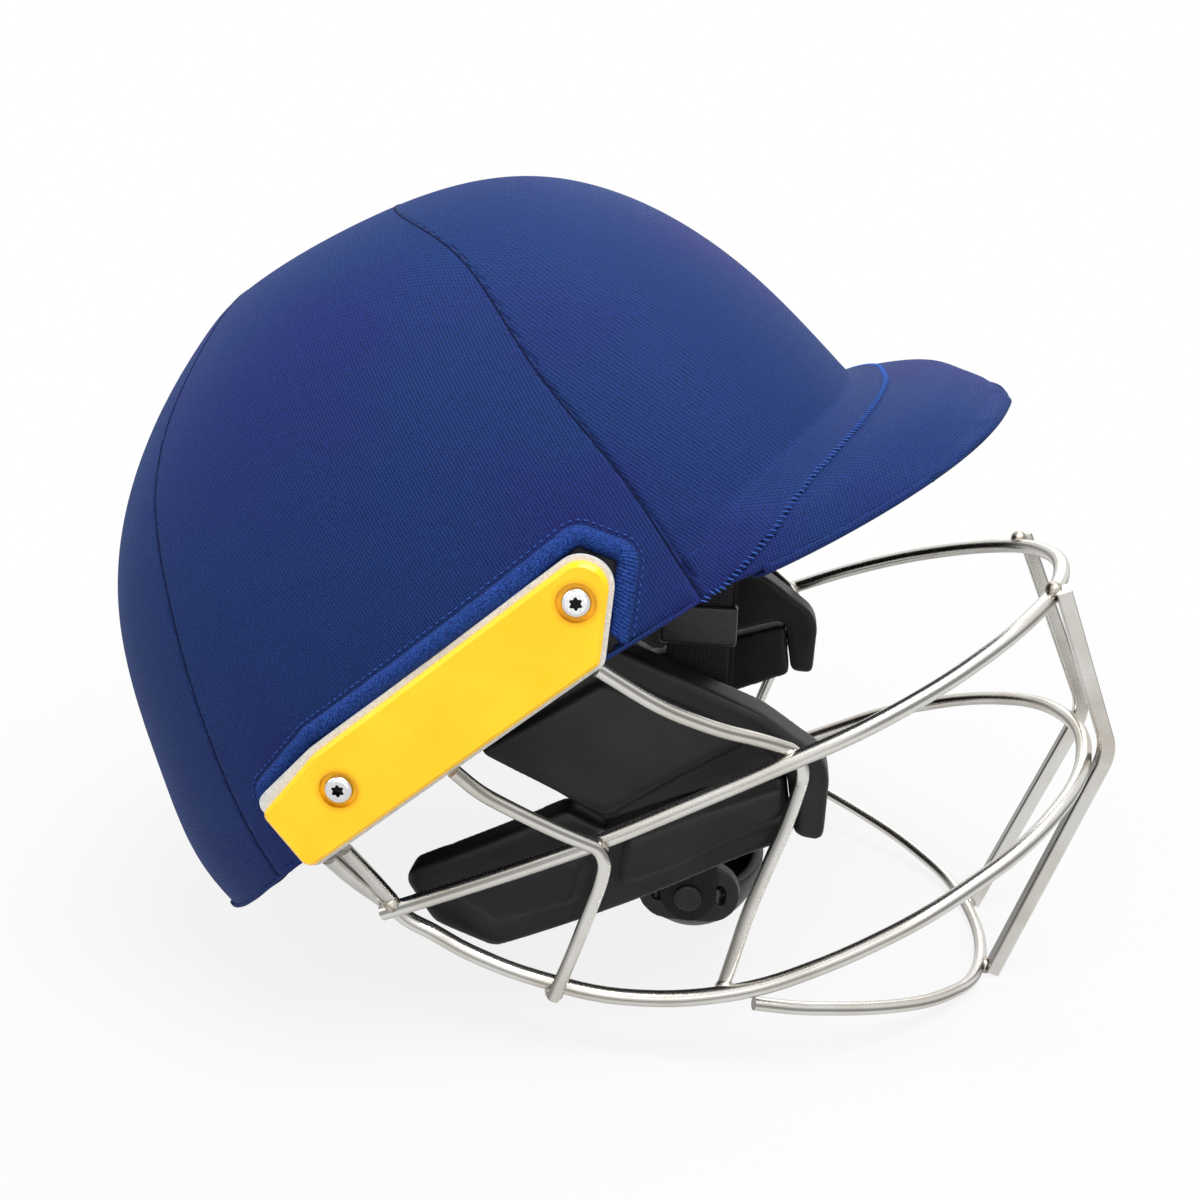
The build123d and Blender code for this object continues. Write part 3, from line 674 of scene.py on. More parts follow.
def plate_outline(margin, step=0.3):
    """The plate's outline, moved out by a margin with round corners, at even steps."""
    points = []
    for i in range(len(plate_corners)):
        before, here, after = (plate_corners[(i + k) % len(plate_corners)] for k in (-1, 0, 1))
        first, second = here - before, after - here
        start = math.atan2(first[1], first[0]) - math.pi / 2
        bend = (math.atan2(second[1], second[0]) - math.pi / 2 - start) % (2 * math.pi)
        for turn in np.linspace(start, start + bend, 16):
            points.append(here + margin * np.array([math.cos(turn), math.sin(turn)]))
    points.append(points[0])
    points = np.array(points)
    walked = walked_along(points)
    marks = np.linspace(0, walked[-1], int(walked[-1] / step), endpoint=False)
    return at_marks(marks, walked, points)


def off_plate(flat, out):
    """Level points of the right-hand side from places on the plate and heights above it."""
    flat = np.asarray(flat, float).reshape(-1, 2)
    x = plate_middle + flat[:, 0] * math.cos(plate_yaw) + out * math.sin(plate_yaw)
    y = -plate_face + flat[:, 0] * math.sin(plate_yaw) - out * math.cos(plate_yaw)
    return np.column_stack([x, y, plate_height + flat[:, 1]])


def within(outline, points):
    """Which points lie inside a closed outline."""
    result = np.zeros(len(points), bool)
    for (x0, y0), (x1, y1) in zip(outline, np.roll(outline, -1, 0)):
        if y0 != y1:
            crosses = (y0 > points[:, 1]) != (y1 > points[:, 1])
            at = x0 + (points[:, 1] - y0) * (x1 - x0) / (y1 - y0)
            result ^= crosses & (points[:, 0] < at)
    return result


middles = (cover[:-1] + cover[1:] + np.roll(cover, -1, 1)[:-1] + np.roll(cover, -1, 1)[1:]) / 4
beside = (plate_face - np.abs(middles[..., 1])) * math.sin(plate_yaw)
flat_x = (middles[..., 0] - plate_middle) * math.cos(plate_yaw) + beside
flat_places = np.column_stack([flat_x.ravel(), middles[..., 2].ravel() - plate_height])
cut_outline = plate_outline(binding_inside + binding_width / 2, step=3.0)
is_cut = within(cut_outline, flat_places).reshape(flat_x.shape)
flank = 80.0
is_cut &= np.abs(middles[..., 1]) > flank
cap_line = np.interp(middles[..., 2], cap_seam[:, 1], cap_seam[:, 0])
is_cap = (middles[..., 0] > cap_line) & (middles[..., 2] < cap_seam[-1, 1])
is_front = (middles[..., 0] > seam_x(front_seam, middles[..., 2])) & ~is_cap
is_rear = middles[..., 0] < seam_x(rear_seam, middles[..., 2])


# The knit itself: columns of slanted loops a little under a millimetre across, with a violet
# cast in broad clouds, a paler sheen where the cloth turns away and painted shade in its hollows
wale, course = 0.86, 0.70
sheen_blue = seen(130, 160, 225)
knit_blue, knit_violet, knit_hollow_shade = seen(25, 50, 106), seen(30, 42, 106), seen(5, 11, 34)


def loops(across, along):
    """The relief of the loops, from two coordinates in millimetres."""
    column = abs((across * (math.pi / wale)).sine())
    row = ((along * (1 / course) + column * 0.35) * (2 * math.pi)).sine()
    return column * (0.62 + row * 0.38)


def knit(name, turn):
    """Knit cloth with its columns turned by an angle, seen from the side."""
    cloth = Finish(
        name, knit_blue, 0.75, Sheen_Weight=0.12, Sheen_Tint=sheen_blue, Specular_IOR_Level=0.1
    )
    level = cloth.level()
    x, y, z = cloth.parts(level)
    front, flank, top = [part**6 for part in cloth.facing()]
    across = x * math.cos(turn) + z * math.sin(turn)
    along = z * math.cos(turn) - x * math.sin(turn)
    relief = loops(across, along) * flank + loops(y, z) * front + loops(y, x) * top
    relief = relief / (front + flank + top)
    cloud = cloth.noise(level, 0.016, detail=2.0)
    grain = cloth.noise(level, 1.3, detail=2.0)
    tone = cloth.mix(cloud.between(0.45, 0.62), knit_blue, knit_violet)
    # Painted shade in the hollows of the loops' relief, mottled by random grain
    loop_shade_and_grain = (relief * 0.75 + grain * 0.55).between(0.15, 0.75)
    cloth.feed(Base_Color=cloth.mix(loop_shade_and_grain, knit_hollow_shade, tone), Roughness=0.6 + grain * 0.25)
    cloth.bump(relief + grain * 0.3, 0.25, 0.7)
    return cloth.material


cloth_wall, lap_step = 1.0, 0.7
knit_flat = knit("knit_flat", 0.0)
knit_slanted = knit("knit_slanted", math.radians(24))
knit_peak = knit("knit_peak", math.radians(-12))
panels = (
    ("front_panel", is_front, knit_slanted, "front_cover", (0.30, 0.20)),
    ("crown_panel", ~is_front & ~is_cap & ~is_rear, knit_flat, "crown_cover", (0.36, 0.22)),
    ("rear_panel", is_rear, knit_flat, "rear_cover", (0.32, 0.20)),
    ("peak_cap", is_cap, knit_peak, "peak_cover", (0.26, 0.06)),
)


def stretched(piece):
    """Give a piece of cloth its thickness."""
    modify(piece, "SOLIDIFY", thickness=cloth_wall * MM, offset=-1)


for name, chosen, finish, node, flat in panels:
    is_lapped = node == "peak_cover"
    places = tipped(cover - outward * (lap_step if is_lapped else 0))
    faces = skin_faces(chosen & ~is_cut)
    panel = add_piece(name, places, faces, finish, cad=(node,))
    stretched(panel)

# Peak.  A moulded lip under its cap, clipped to the brow of the shell
peak_wall, peak_sink, peak_start, peak_lift = 3.0, 1.3, 88.0, 1.0
is_peak = (middles[..., 0] > peak_start) & (above_bare[:-1] > peak_lift)
is_peak &= middles[..., 2] < peak_top
peak_lip = add_piece(
    "peak_lip", tipped(cover - outward * peak_sink), skin_faces(is_peak),
    shell_plastic, cad=("peak",),
)
modify(peak_lip, "SOLIDIFY", thickness=peak_wall * MM, offset=-1)

# Cloth of the front panel that is tucked behind the peak, down the brow to the rim
tuck_rows, tuck_top, tuck_start = 14, 16.0, 90.0
tuck = skin(dome_reach, rim_foot, tuck_top, tuck_rows)
level_reach = dome_reach(np.zeros((1, cover_columns)))[0]
is_tucked = np.tile(crown_lean + level_reach * np.cos(turns) > tuck_start, (tuck_rows - 1, 1))
tuck_faces = skin_faces(is_tucked, tuck_rows)
brow_tuck = add_piece("brow_tuck", tipped(tuck), tuck_faces, knit_flat)
stretched(brow_tuck)


# Rolled hem.  The cover's edge is turned under the rim of shell and foam and sewn down; it is
# one soft roll all the way round, and a thinner one along the lower edge of the peak.
hem_profile_shares = (
    (0.0, 0.6),
    (0.0, -0.35),
    (0.07, -0.8),
    (0.2, -1.0),
    (0.55, -0.95),
    (0.9, -0.75),
    (1.0, -0.3),
    (0.96, 0.15),
)
hem_drop, hem_lift, hem_width, hem_wall = 0.8, 0.6, 9.0, 0.8
peak_hem_drop, peak_hem_width = 1.6, 6.0


def hem_loft(reach, foot, chosen, drop, width):
    """Rows of points round the profile of a hem, for the chosen columns."""
    rows = []
    for inward, down in hem_profile_shares:
        height = foot + down * drop
        out = reach(np.maximum(height, foot)[None, :])[0] - inward * width
        row = np.column_stack([crown_lean + out * np.cos(turns), out * np.sin(turns), height])
        rows.append(row[chosen])
    return np.array(rows)


whole = np.ones(cover_columns, bool)
hem = hem_loft(dome_reach, rim_foot + hem_lift, whole, hem_drop, hem_width)
hem_rows = len(hem)
rim_roll = add_piece(
    "rim_roll", tipped(hem), skin_faces(rows=hem_rows), knit_flat,
    cad=("rim_hem",),
)
modify(rim_roll, "SOLIDIFY", thickness=hem_wall * MM, offset=1)
peak_columns = np.abs(turns) < np.abs(turns[cover_foot < rim_foot - 0.4]).max()
peak_hem = hem_loft(cover_reach, cover_foot, peak_columns, peak_hem_drop, peak_hem_width)
peak_roll = add_piece(
    "peak_roll", tipped(peak_hem), loft_faces(hem_rows, peak_columns.sum()), knit_peak,
)
modify(peak_roll, "SOLIDIFY", thickness=hem_wall * MM, offset=1)


# Seams.  The panels are sewn edge to edge with dark thread that sinks into the cloth, and the
# front panel laps over the peak's cap with a cut edge that shows its small loops.
thread = mottled(
    "thread", (seen(5, 9, 30), seen(16, 27, 70)), (2.0,), (2.0,), (0.85, 0.0), 0.2,
    span=(0.35, 0.65), Specular_IOR_Level=0.1,
)


def surface_line(points, steps):
    """A line on the cover at even steps, from level points near it."""
    walked = walked_along(points)
    even = at_marks(np.arange(0, walked[-1], steps), walked, points)
    found = [cover_tree.find_nearest(Vector(p)) for p in even]
    return np.array([hit[0] for hit in found]), np.array([hit[1] for hit in found])


def seam_path(seam):
    """Where a seam's side-view line meets the cover, over the head from side to side."""
    heights = np.linspace(-5, dome_height - 0.05, 1400)
    out = cover_reach(np.broadcast_to(heights[:, None], (len(heights), cover_columns)))
    path = []
    half = turns >= 0
    for height, reach, x in zip(heights, out, seam_x(seam, heights)):
        forward = crown_lean + reach[half] * np.cos(turns[half])
        if forward[-1] < x < forward[0]:
            turn = np.interp(-x, -forward, turns[half])
            radius = np.interp(turn, turns[half], reach[half])
            path.append((x, radius * math.sin(turn), height))
    path = np.array(path)
    over = path[::-1] * (1, -1, 1)
    return np.vstack([path, over])


def thread_tube(name, points, normals, radius, sink):
    """A sewn line: a thin round tube that lies on the cloth, sunk in by a little."""
    curve = bpy.data.curves.new(name, "CURVE")
    curve.dimensions = "3D"
    curve.bevel_depth = radius * MM
    curve.bevel_resolution = 2
    curve.use_fill_caps = True
    line = curve.splines.new("POLY")
    line.points.add(len(points) - 1)
    for point, place in zip(line.points, tipped(points - normals * sink)):
        point.co = (*place, 1)
    curve.materials.append(thread)
    piece = shown_object(name, curve)
    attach(piece, "root")


seam_radius, seam_sink = 0.42, 0.22
for name, seam in (("front_seam", front_seam), ("rear_seam", rear_seam)):
    line, normals = surface_line(seam_path(seam), 1.0)
    beside_plate = np.column_stack([line[:, 0] - plate_middle, line[:, 2] - plate_height])
    keep = ~within(cut_outline, beside_plate) | (np.abs(line[:, 1]) < flank)
    keep &= line[:, 2] > rim_height(line[:, 0]) - 0.5
    thread_tube(name, line[keep], normals[keep], seam_radius, seam_sink)

# Opening binding.  A ribbed tape is serged round each opening of the cover, ribs square to the
# edge, with a row of stitches beside it that holds the folded cloth down.
binding_rise, binding_sink, binding_wall, cast_height = 1.5, 0.5, 0.6, 20.0
rib_pitch, rib_depth, rim_overlap = 0.95, 0.28, 1.5
binding_cloth = mottled(
    "binding_cloth", (seen(14, 30, 82), seen(40, 74, 148)), (1.8,), (1.8,), (0.75, 0.0), 0.25,
    span=(0.35, 0.7), Sheen_Weight=0.1, Sheen_Tint=sheen_blue, Specular_IOR_Level=0.1,
)


def on_cover(flat):
    """Places on the cover under places on the plate's plane, with their normals."""
    starts = off_plate(flat, cast_height)
    inward = Vector((-math.sin(plate_yaw), math.cos(plate_yaw), 0))
    hits = [cover_tree.ray_cast(Vector(start), inward) for start in starts]
    places = np.array([hit[0] if hit[0] else start for hit, start in zip(hits, starts)])
    normals = np.array([hit[1] if hit[0] else -inward for hit in hits])
    normals *= np.sign(normals @ -np.array(inward))[:, None]
    return places, normals, np.array([hit[0] is not None for hit in hits])


binding_across = 9
inner_edge = plate_outline(binding_inside, step=rib_pitch / 4)
binding_grid, binding_hits = [], []
for share in np.linspace(0, 1, binding_across):
    margin = binding_inside + binding_width * share
    line = plate_outline(margin, step=rib_pitch / 4)
    marks = np.linspace(0, len(line), len(inner_edge), endpoint=False)
    round_again = np.vstack([line, line[:1]])
    line = at_marks(marks, np.arange(len(line) + 1), round_again)
    places, normals, found = on_cover(line)
    binding_hits.append(found)
    arch = math.sqrt(max(0.0, 1 - (2 * share - 1) ** 2))
    ribs = 1 - rib_depth * (0.5 + 0.5 * np.cos(np.arange(len(line)) * math.pi / 2))
    rise = binding_rise * arch * ribs - binding_sink * (1 - arch)
    binding_grid.append(places + normals * rise[:, None])
binding_grid = np.array(binding_grid)
hit_all = np.array(binding_hits).all(0)
rim_below = rim_height(binding_grid[:, :, 0].ravel()).reshape(binding_grid.shape[:2])
above_rim_line = binding_grid[:, :, 2] > rim_below - rim_overlap
keep = above_rim_line[:-1] & above_rim_line[1:] & hit_all & np.roll(hit_all, -1)
for side, mirrored in both_sides:
    faces = loft_faces(binding_across, len(inner_edge), closed=True, keep=keep)
    faces = [face[::mirrored] for face in faces]
    places = tipped(binding_grid.reshape(-1, 3) * (1, mirrored, 1))
    tape = add_piece(
        f"binding_{side}", places, faces, binding_cloth,
        cad=(f"opening_binding_{side}",),
    )
    modify(tape, "SOLIDIFY", thickness=binding_wall * MM, offset=-1)

# Row of stitches beside the tape: short dashes of thread that lie on the cloth
stitch_margin, stitch_pitch, stitch_long, stitch_radius = 7.6, 2.1, 1.5, 0.22


def pale_thread(name, colour):
    """Thread of one colour with a fine fuzz."""
    finish = Finish(name, colour, 0.75, Specular_IOR_Level=0.1)
    finish.bump(finish.noise(finish.level(), 3.0), 0.15)
    return finish.material


def stitches(name, starts, ends, normals, finish, radius):
    """Dashes of thread, each a rounded spindle from its start to its end."""
    profile = ((0.0, 0.15), (0.12, 0.8), (0.35, 1.0), (0.65, 1.0), (0.88, 0.8), (1.0, 0.15))
    sides = 6
    spindle = loft_faces(len(profile), sides, closed=True)
    points, faces = [], []
    for start, end, normal in zip(starts, ends, normals):
        run = end - start
        aside = np.cross(run, normal)
        aside /= np.linalg.norm(aside) + 1e-9
        first = len(points)
        for along, width in profile:
            arch = math.sin(math.pi * along) * radius * 0.8
            for k in range(sides):
                turn = 2 * math.pi * k / sides
                offset = aside * math.cos(turn) + normal * math.sin(turn)
                points.append(start + run * along + normal * arch + offset * radius * width)
        faces += [tuple(first + k for k in face) for face in spindle]
        faces.append(tuple(range(first, first + sides))[::-1])
        last = first + (len(profile) - 1) * sides
        faces.append(tuple(range(last, last + sides)))
    add_piece(name, points, faces, finish)


line = plate_outline(stitch_margin, step=stitch_pitch / 8)
places, normals, found = on_cover(line)
starts, ends = places[::8], np.roll(places, -int(8 * stitch_long / stitch_pitch), 0)[::8]
ups = normals[::8]
above = (starts[:, 2] > rim_height(starts[:, 0]) + 1.0) & found[::8]
above &= np.linalg.norm(ends - starts, axis=1) < 2 * stitch_long
thread_row = pale_thread("thread_row", seen(44, 72, 138))
for side, mirrored in both_sides:
    flip = (1, mirrored, 1)
    stitches(
        f"opening_stitches_{side}", tipped(starts[above] * flip), tipped(ends[above] * flip),
        tipped_ways(ups[above] * flip), thread_row, stitch_radius * MM,
    )


# Cut edge of the front panel over the cap: close overlock stitches of paler thread, slanted
# across the edge
edge_thread = pale_thread("edge_thread", seen(52, 84, 156))
lap_pitch, lap_reach, lap_radius = 1.5, 0.9, 0.2
heights = np.linspace(cap_seam[0, 1], cap_seam[-1, 1], 300)
spans = []
for height in heights:
    out = cover_reach(np.full((1, cover_columns), height))[0]
    x = np.interp(height, cap_seam[:, 1], cap_seam[:, 0])
    ahead_half = turns <= 0
    forward = crown_lean + out[ahead_half] * np.cos(turns[ahead_half])
    turn = np.interp(x, forward, turns[ahead_half])
    reach = np.interp(turn, turns[ahead_half], out[ahead_half])
    spans.append((x, reach * math.sin(turn), height))
spans = np.array([span for span in spans if span[1] < -0.5])
cap_line, cap_normals = surface_line(np.vstack([spans, spans[::-1] * (1, -1, 1)]), lap_pitch)
run = np.gradient(cap_line, axis=0)
square = np.cross(run, cap_normals)
square /= np.linalg.norm(square, axis=1)[:, None]
lean = run / np.linalg.norm(run, axis=1)[:, None] * 0.5
across = (square + lean) * lap_reach
stitches(
    "cap_stitches", tipped(cap_line - across), tipped(cap_line + across),
    tipped_ways(cap_normals), edge_thread, lap_radius * MM,
)


# Side plates.  Glossy yellow moulded plastic with a bevelled edge and a sunk seat for each
# screw; a ring of painted shade, deeper amber, lies round each seat.
screw_shares = ((-0.666, -0.286), (0.771, 0.407))
screw_spots = np.array(screw_shares) * (plate_half, plate_rise)
seat_radius = 5.2
yellow = Finish("yellow_plastic", seen(254, 196, 30), 0.24, Specular_IOR_Level=0.25)
level = yellow.level()
x, y, z = yellow.parts(level)
level_shift = (
    -shift_x * math.cos(tilt) - shift_z * math.sin(tilt),
    shift_x * math.sin(tilt) - shift_z * math.cos(tilt),
)


def screw_away(x, z):
    """How far a place is from the axis of each screw."""
    distances = []
    for place in off_plate(screw_spots, 0):
        dx = x - (place[0] - level_shift[0])
        dz = z - (place[2] - level_shift[1])
        distances.append((dx * dx + dz * dz) ** 0.5)
    return distances


# Painted shade: a deeper amber ring round each screw's sunk seat
seat_shade_share = 0.0
for away in screw_away(x, z):
    seat_shade_share = seat_shade_share + (1 - abs(away - seat_radius).between(0.2, 1.5))
mottle = yellow.noise(level, 0.05, detail=2.0)
scuff = yellow.noise(level, 0.9, detail=4.0)
base = yellow.mix(mottle.between(0.35, 0.65), seen(255, 200, 34), seen(252, 190, 22))
yellow.feed(
    Base_Color=yellow.mix(seat_shade_share.between(0.0, 1.6), base, seen(226, 158, 14)),
    Roughness=0.2 + scuff.between(0.45, 0.8) * 0.18,
)
yellow.bump(scuff, 0.02)

# Backing plates.  Pale grey satin plastic that shows as a thin line round the yellow plate
grey = mottled(
    "grey_plastic", (seen(182, 184, 184), seen(210, 212, 212)), (1.2,), (1.2,), (0.45, 0.0), 0.03
)

# Screws, nuts and spacers.  Stainless button heads with painted shade in the recess; the
# spacers are black
bright = Finish("bright_steel", seen(214, 214, 214), 0.2, metal=1.0)
level = bright.level()
turned = bright.noise(level, 4.0, detail=4.0)
x, y, z = bright.parts(level)
corners = level_places("plate_screws_right")
sine, cosine = math.sin(plate_yaw), math.cos(plate_yaw)
face_at = ((corners[:, 0] - plate_middle) * sine - (corners[:, 1] + plate_face) * cosine).max()
recess_reach, recess_rim = 3.0, 0.35
off = (x + (level_shift[0] - plate_middle)) * sine + (abs(y) - plate_face) * cosine
sunken = (face_at - off).between(recess_rim, recess_rim * 2)
# Painted shade: a dark colour fills the sunk recess of each screw head
recess_shade = 0.0
for away in screw_away(x, z):
    recess_shade = recess_shade + (1 - away.between(recess_reach, recess_reach + 0.1)) * sunken
metal = bright.mix(turned.between(0.3, 0.7), seen(196, 196, 196), seen(228, 228, 228))
bright.feed(
    Base_Color=bright.mix(recess_shade, metal, seen(30, 28, 26)),
    Roughness=0.16 + turned * 0.16,
)
bright.bump(turned, 0.015)
for side in ("right", "left"):
    finish_node(f"side_plate_{side}", yellow.material)
    finish_node(f"backing_plate_{side}", grey)
    finish_node(f"plate_spacers_{side}", shell_plastic)
    finish_node(f"plate_screws_{side}", bright.material)
    finish_node(f"plate_nuts_{side}", bright.material)


# Face guard.  Stainless wires, round but for the two square uprights, bent, crossed and welded,
# then tumbled to a satin shine.  Along their lengthwise sheen, painted shade darkens a stripe where
# the wire turns from the light and darkens the underside of each wire; the welding heat has left a little brown.
steel = Finish("satin_steel", seen(196, 193, 187), 0.24, metal=1.0)
level = steel.level()
stain = steel.noise(level, 0.035, detail=3.0)
pits = steel.noise(level, 2.6, detail=2.0)
tone = steel.mix(stain.between(0.45, 0.75), seen(214, 212, 207), seen(188, 181, 170))
upward = steel.parts(steel.node("TexCoord", output=1))[2]
# Painted shade, set by the way each surface faces: a darker stripe and a darker underside
shade_stripe_middle, shade_stripe_reach = 0.30, 0.30
shade_stripe = 1 - (abs(upward - shade_stripe_middle) * (1 / shade_stripe_reach)).between(0.35, 1.0)
underside_shade = (upward * -1).between(0.2, 0.8)
steel.feed(
    Base_Color=steel.mix(shade_stripe * 0.75 + underside_shade * 0.5, tone, seen(92, 90, 86)),
    Roughness=0.2 + pits * 0.12,
)
steel.bump(pits, 0.02)
wires = ["visor_bar", "jaw_bar", "chin_bar"]
for pair in ("front_upright", "front_strut", "rear_strut", "short_strut"):
    wires += [f"{pair}_right", f"{pair}_left"]
for wire in wires:
    finish_node(wire, steel.material)


# Weld beads.  A small fillet of metal where each wire meets the bar behind it.  The places are
# the nearest points of each pair of wires.
welds = (
    ("visor_bar", "front_upright"),
    ("jaw_bar", "front_upright"),
    ("chin_bar", "front_upright"),
    ("visor_bar", "front_strut"),
    ("jaw_bar", "front_strut"),
    ("visor_bar", "rear_strut"),
    ("jaw_bar", "rear_strut"),
    ("visor_bar", "short_strut"),
    ("jaw_bar", "chin_bar"),
)
bead_radius, bead_spread, weld_gap, middle_band, floor_gap = 2.5, 9.0, 0.5, 2.0, 0.05
bead_stretch = (1.15, 1.0, 1.0)
weld_steel = mottled(
    "weld_steel", (seen(188, 184, 176), seen(128, 112, 92)), (0.9,), (0.9,), (0.36, 0.0), 0.25,
    span=(0.4, 0.7), metal=1.0,
)


def tree_of(node):
    mesh = frame["nodes"][node].data
    corners = [vertex.co.copy() for vertex in mesh.vertices]
    return BVHTree.FromPolygons(corners, [tuple(face.vertices) for face in mesh.polygons])


def weld_spots(first, second, reach):
    """Middles of the places where two wires touch or nearly touch, on the right-hand side."""
    tree = tree_of(first)
    near = []
    for vertex in frame["nodes"][second].data.vertices:
        if vertex.co.y < MM:
            hit = tree.find_nearest(vertex.co, reach * MM)
            if hit[0]:
                near.append(np.array((hit[0] + vertex.co) / 2))
    groups = []
    for place in near:
        for group in groups:
            if np.linalg.norm(group[0] - place) < bead_spread * MM:
                group.append(place)
                break
        else:
            groups.append([place])
    return [np.mean(group, axis=0) for group in groups]


rng = np.random.default_rng(7)
beads = bmesh.new()
for first, second in welds:
    partner = second if second in frame["nodes"] else second + "_right"
    for spot in weld_spots(first, partner, weld_gap):
        for sign in (1, -1) if abs(spot[1]) > middle_band * MM else (1,):
            scale = [bead_radius * MM * share for share in bead_stretch]
            spin = Matrix.Rotation(rng.uniform(0, 3), 4, Vector(rng.normal(size=3)).normalized())
            place = Matrix.Translation(Vector(spot))
            place[1][3] *= sign
            size = Matrix.Diagonal((*scale, 1))
            bmesh.ops.create_icosphere(beads, subdivisions=3, radius=1, matrix=place @ spin @ size)
for vertex in beads.verts:
    vertex.co.z = max(vertex.co.z, floor_gap * MM)
bead_mesh = bpy.data.meshes.new("weld_beads")
beads.to_mesh(bead_mesh)
beads.free()
bead_mesh.shade_smooth()
bead_mesh.materials.append(weld_steel)
weld_beads = shown_object("weld_beads", bead_mesh)
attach(weld_beads, "root")


# Ear and jaw pads.  Black foam moulded with a skin: raised panels with soft edges on a thinner
# base, satin and finely pored.
pad_skin = mottled(
    "black_foam", (seen(19, 19, 19), seen(31, 31, 31)), (0.05, 2.0), (2.4,), (0.36, 0.16), 0.05,
    span=(0.35, 0.65), Specular_IOR_Level=0.22,
)
pad_voxel, pad_rounds = 0.9, 8
for side in ("right", "left"):
    for pad in ("ear", "jaw"):
        softened(
            f"{pad}_pad_{side}", f"{pad}_cushion_{side}", pad_skin,
            pad_voxel, pad_rounds,
        )

# Chin strap.  Black ribbed webbing 18 mm wide hangs from a stud in each temple; it is drawn in
# under the jaw to the cup, and its ends are rounded and heat-sealed round the studs.
strap_width, strap_wall = 18.0, 1.6
strap_out, strap_in, strap_length = 54.0, 37.0, 123.0
strap_knee, strap_elbow = 48.0, 88.0
webbing = Finish("black_webbing", seen(28, 28, 30), 0.7, Specular_IOR_Level=0.15)
where = webbing.node("TexCoord", output=3)
scaled = webbing.node("Mapping", {"Vector": where, "Scale": (1 / MM, 1 / MM, 1 / MM)})
x, y, z = webbing.parts(scaled)
rib = (x * (2 * math.pi / 1.5)).sine()
pick = ((z * (1 / 0.9) + rib * 0.25) * (2 * math.pi)).sine()
weave = abs(rib) * 0.6 + (pick + 1) * 0.2
lint = webbing.noise(scaled, 1.2)
# Painted shade in the grooves between ribs and picks, mixed with random lint
weave_shade_and_lint = (weave * 0.7 + lint * 0.5).between(0.2, 0.9)
webbing.feed(
    Base_Color=webbing.mix(weave_shade_and_lint, seen(14, 14, 15), seen(42, 42, 45)),
    Roughness=0.6 + lint * 0.2,
)
webbing.bump(weave, 0.3)

strap_bend = 18.0
strap_half = strap_width / 2


def rounded(points, radius, steps=14):
    """A flat route whose inner corners are arcs."""
    route = [np.array(points[0], float)]
    for before, corner, after in zip(points, points[1:], points[2:]):
        before, corner, after = (np.array(p, float) for p in (before, corner, after))
        first = (before - corner) / np.linalg.norm(before - corner)
        second = (after - corner) / np.linalg.norm(after - corner)
        opening = math.acos(np.clip(first @ second, -1, 1))
        setback = radius / math.tan(opening / 2)
        halfway = (first + second) / np.linalg.norm(first + second)
        middle = corner + halfway * radius / math.sin(opening / 2)
        start, end = corner + first * setback - middle, corner + second * setback - middle
        for share in np.linspace(0, 1, steps):
            arm = start * (1 - share) + end * share
            route.append(middle + arm / np.linalg.norm(arm) * radius)
    route.append(np.array(points[-1], float))
    return np.array(route)


strap_corners = (
    (-strap_out, strap_half),
    (-strap_out, -strap_knee),
    (-strap_in, -strap_elbow),
    (-strap_in, -strap_length - strap_half),
)
route = rounded(strap_corners, strap_bend)
walked = walked_along(route)
marks = np.arange(0, walked[-1] + 0.01, 0.8)
route = at_marks(marks, walked, route)
lean = np.gradient(route, axis=0)
lean /= np.linalg.norm(lean, axis=1)[:, None]
side_step = np.column_stack([-lean[:, 1], lean[:, 0]])


def squared(value, power):
    """A sine or cosine pushed out towards 1, which makes a circle a rounded slab."""
    return math.copysign(abs(value) ** power, value)


section_shares = [
    (squared(math.cos(t), 0.35), squared(math.sin(t), 0.7))
    for t in np.linspace(0, 2 * math.pi, 36, endpoint=False)
]
for side, mirrored in both_sides:
    points = []
    for mark, (y, z), (out_y, out_z) in zip(marks, route, side_step):
        tip_gap = min(mark, walked[-1] - mark)
        half = math.sqrt(max(0.3, strap_half**2 - max(0.0, strap_half - tip_gap) ** 2))
        for across, thick in section_shares:
            lift = thick * strap_wall / 2
            points.append((across * half, (y + out_y * lift) * mirrored, z + out_z * lift))
    count = len(section_shares)
    faces = [face[::mirrored] for face in loft_faces(len(marks), count, closed=True)]
    faces.append(tuple(range(count))[::-mirrored])
    last = (len(marks) - 1) * count
    faces.append(tuple(range(last, last + count))[::mirrored])
    add_piece(
        f"webbing_{side}", hanging(points), faces, webbing.material,
        body="chin_harness", cad=(f"chin_strap_{side}",),
    )


# Sliders, studs and cup.  The sliders and studs are moulded nylon; the cup is soft black rubber
# with an oval hole on each side of its button.
nylon = mottled(
    "stud_plastic", (seen(26, 26, 28), seen(40, 40, 42)), (0.5,), (0.5,), (0.32, 0.15), 0.05,
    Specular_IOR_Level=0.3,
)
for side in ("right", "left"):
    finish_node(f"strap_stud_{side}", nylon)
    finish_node(f"strap_slider_{side}", nylon)
rubber = mottled(
    "black_rubber", (seen(14, 14, 14), seen(28, 28, 28)), (0.25,), (2.5,), (0.34, 0.2), 0.06,
    span=(0.35, 0.7), Specular_IOR_Level=0.3,
)
cup_voxel, cup_rounds = 0.7, 6
softened(
    "chin_cup", "cup_moulding", rubber, cup_voxel, cup_rounds, body="cup"
)

# Floor and room.  A white floor that keeps the helmet's soft shadow and fades into the white
# round it, soft lamps above, and an even grey room that is white only where it is looked at.
floor_reach = 6.0
white_kinds = ("Camera", "Glossy", "Transmission")
floor_paint = Finish("white_floor", (0.55, 0.55, 0.56, 1), 0.9, Specular_IOR_Level=0.1)


def looked_at(node):
    """1 for rays that come from the camera or off a shiny or clear surface."""
    rays = node("LightPath").socket.node.outputs
    camera, shiny, clear = (Shade(floor_paint, rays[f"Is {kind} Ray"]) for kind in white_kinds)
    return camera.sum("MAXIMUM", camera, camera.sum("MAXIMUM", shiny, clear))


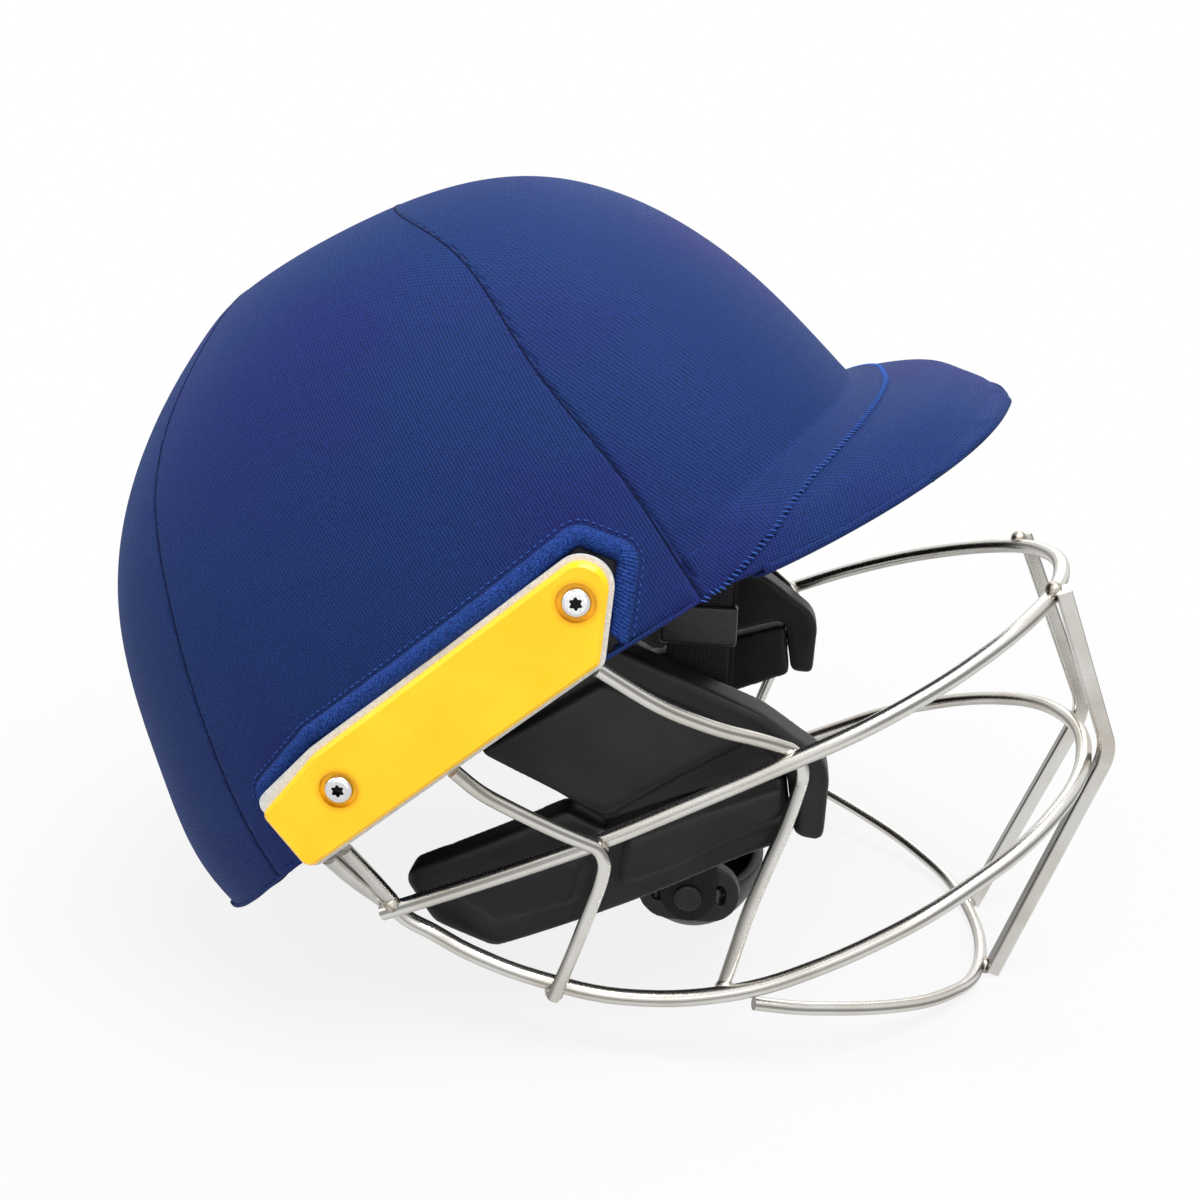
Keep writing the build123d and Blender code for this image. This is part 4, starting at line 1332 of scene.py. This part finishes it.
spot = floor_paint.node("TexCoord", output=3)
away = floor_paint.node("VectorMath", {0: spot}, output=1, operation="LENGTH")
glow = floor_paint.node("Emission", {"Color": (1, 1, 1, 1), "Strength": 1.0})
share = (0.86 + away.between(0.15, 0.5) * 0.14) * looked_at(floor_paint.node)
mixed = floor_paint.node("MixShader", {0: share, 2: glow})
floor_paint.tree.links.new(floor_paint.shader.outputs[0], mixed.socket.node.inputs[1])
floor_paint.join(floor_paint.tree.nodes["Material Output"].inputs["Surface"], mixed)
floor_mesh = bpy.data.meshes.new("floor")
corners = ((-1, -1), (1, -1), (1, 1), (-1, 1))
floor_places = [(x * floor_reach, y * floor_reach, 0) for x, y in corners]
floor_mesh.from_pydata(floor_places, [], [(0, 1, 2, 3)])
floor = shown_object("floor", floor_mesh)
floor_mesh.materials.append(floor_paint.material)

lamp_target = (0, 0, 0.1)
for name, place, width, power in (
    ("key_lamp", (0.30, -0.35, 1.20), 0.7, 20.0),
    ("rear_lamp", (-0.95, -0.30, 0.80), 0.8, 3.5),
    ("side_lamp", (0.05, -1.10, 0.30), 0.9, 4.5),
    ("far_lamp", (0.25, 0.95, 0.90), 0.9, 4.5),
):
    lamp = bpy.data.lights.new(name, "AREA")
    lamp.size = width
    lamp.energy = power
    holder = shown_object(name, lamp)
    holder.location = place
    aim = Vector(lamp_target) - Vector(place)
    holder.rotation_euler = aim.to_track_quat("-Z", "Y").to_euler()
world = bpy.data.worlds.new("room")
bpy.context.scene.world = world
world.use_nodes = True
room = world.node_tree
rays = room.nodes.new("ShaderNodeLightPath")
grey_room = room.nodes["Background"]
grey_room.inputs["Color"].default_value = (0.80, 0.83, 0.88, 1)
grey_room.inputs["Strength"].default_value = 0.30
white_room = room.nodes.new("ShaderNodeBackground")
white_room.inputs["Color"].default_value = (1, 1, 1, 1)
blend = room.nodes.new("ShaderNodeMixShader")
seen_white = None
for kind in white_kinds:
    either = room.nodes.new("ShaderNodeMath")
    either.operation = "MAXIMUM"
    either.inputs[1].default_value = 0.0
    room.links.new(rays.outputs[f"Is {kind} Ray"], either.inputs[0])
    if seen_white:
        room.links.new(seen_white, either.inputs[1])
    seen_white = either.outputs[0]
room.links.new(seen_white, blend.inputs[0])
room.links.new(grey_room.outputs[0], blend.inputs[1])
room.links.new(white_room.outputs[0], blend.inputs[2])
room.links.new(blend.outputs[0], room.nodes["World Output"].inputs["Surface"])


# Camera.  It stands 400 mm from the middle plane, off the cheek and above it, and looks a
# little back at the helmet; its roll is what the photograph's smaller tilt leaves.
camera_place = (156.4, -400.0, 79.1)
view_turn, view_drop, view_roll = (math.radians(angle) for angle in (-7.77, 17.82, 1.255))
focal_share = 1270.0 / 1200.0
ahead = Vector(
    (
        math.sin(view_turn) * math.cos(view_drop),
        math.cos(view_turn) * math.cos(view_drop),
        -math.sin(view_drop),
    )
)
across = ahead.cross(Vector((0, 0, 1))).normalized()
above = across.cross(ahead)
roll = Matrix.Rotation(-view_roll, 3, "Y")
axes = Matrix((roll @ across, roll @ above, roll @ -ahead)).transposed()
lens = bpy.data.cameras.new("camera")
lens.sensor_width = 36.0
lens.lens = lens.sensor_width * focal_share
camera = shown_object("camera", lens)
camera.matrix_world = Matrix.Translation(Vector(tipped(camera_place)[0])) @ axes.to_4x4()
bpy.context.scene.camera = camera
bpy.context.scene.view_settings.view_transform = "Standard"
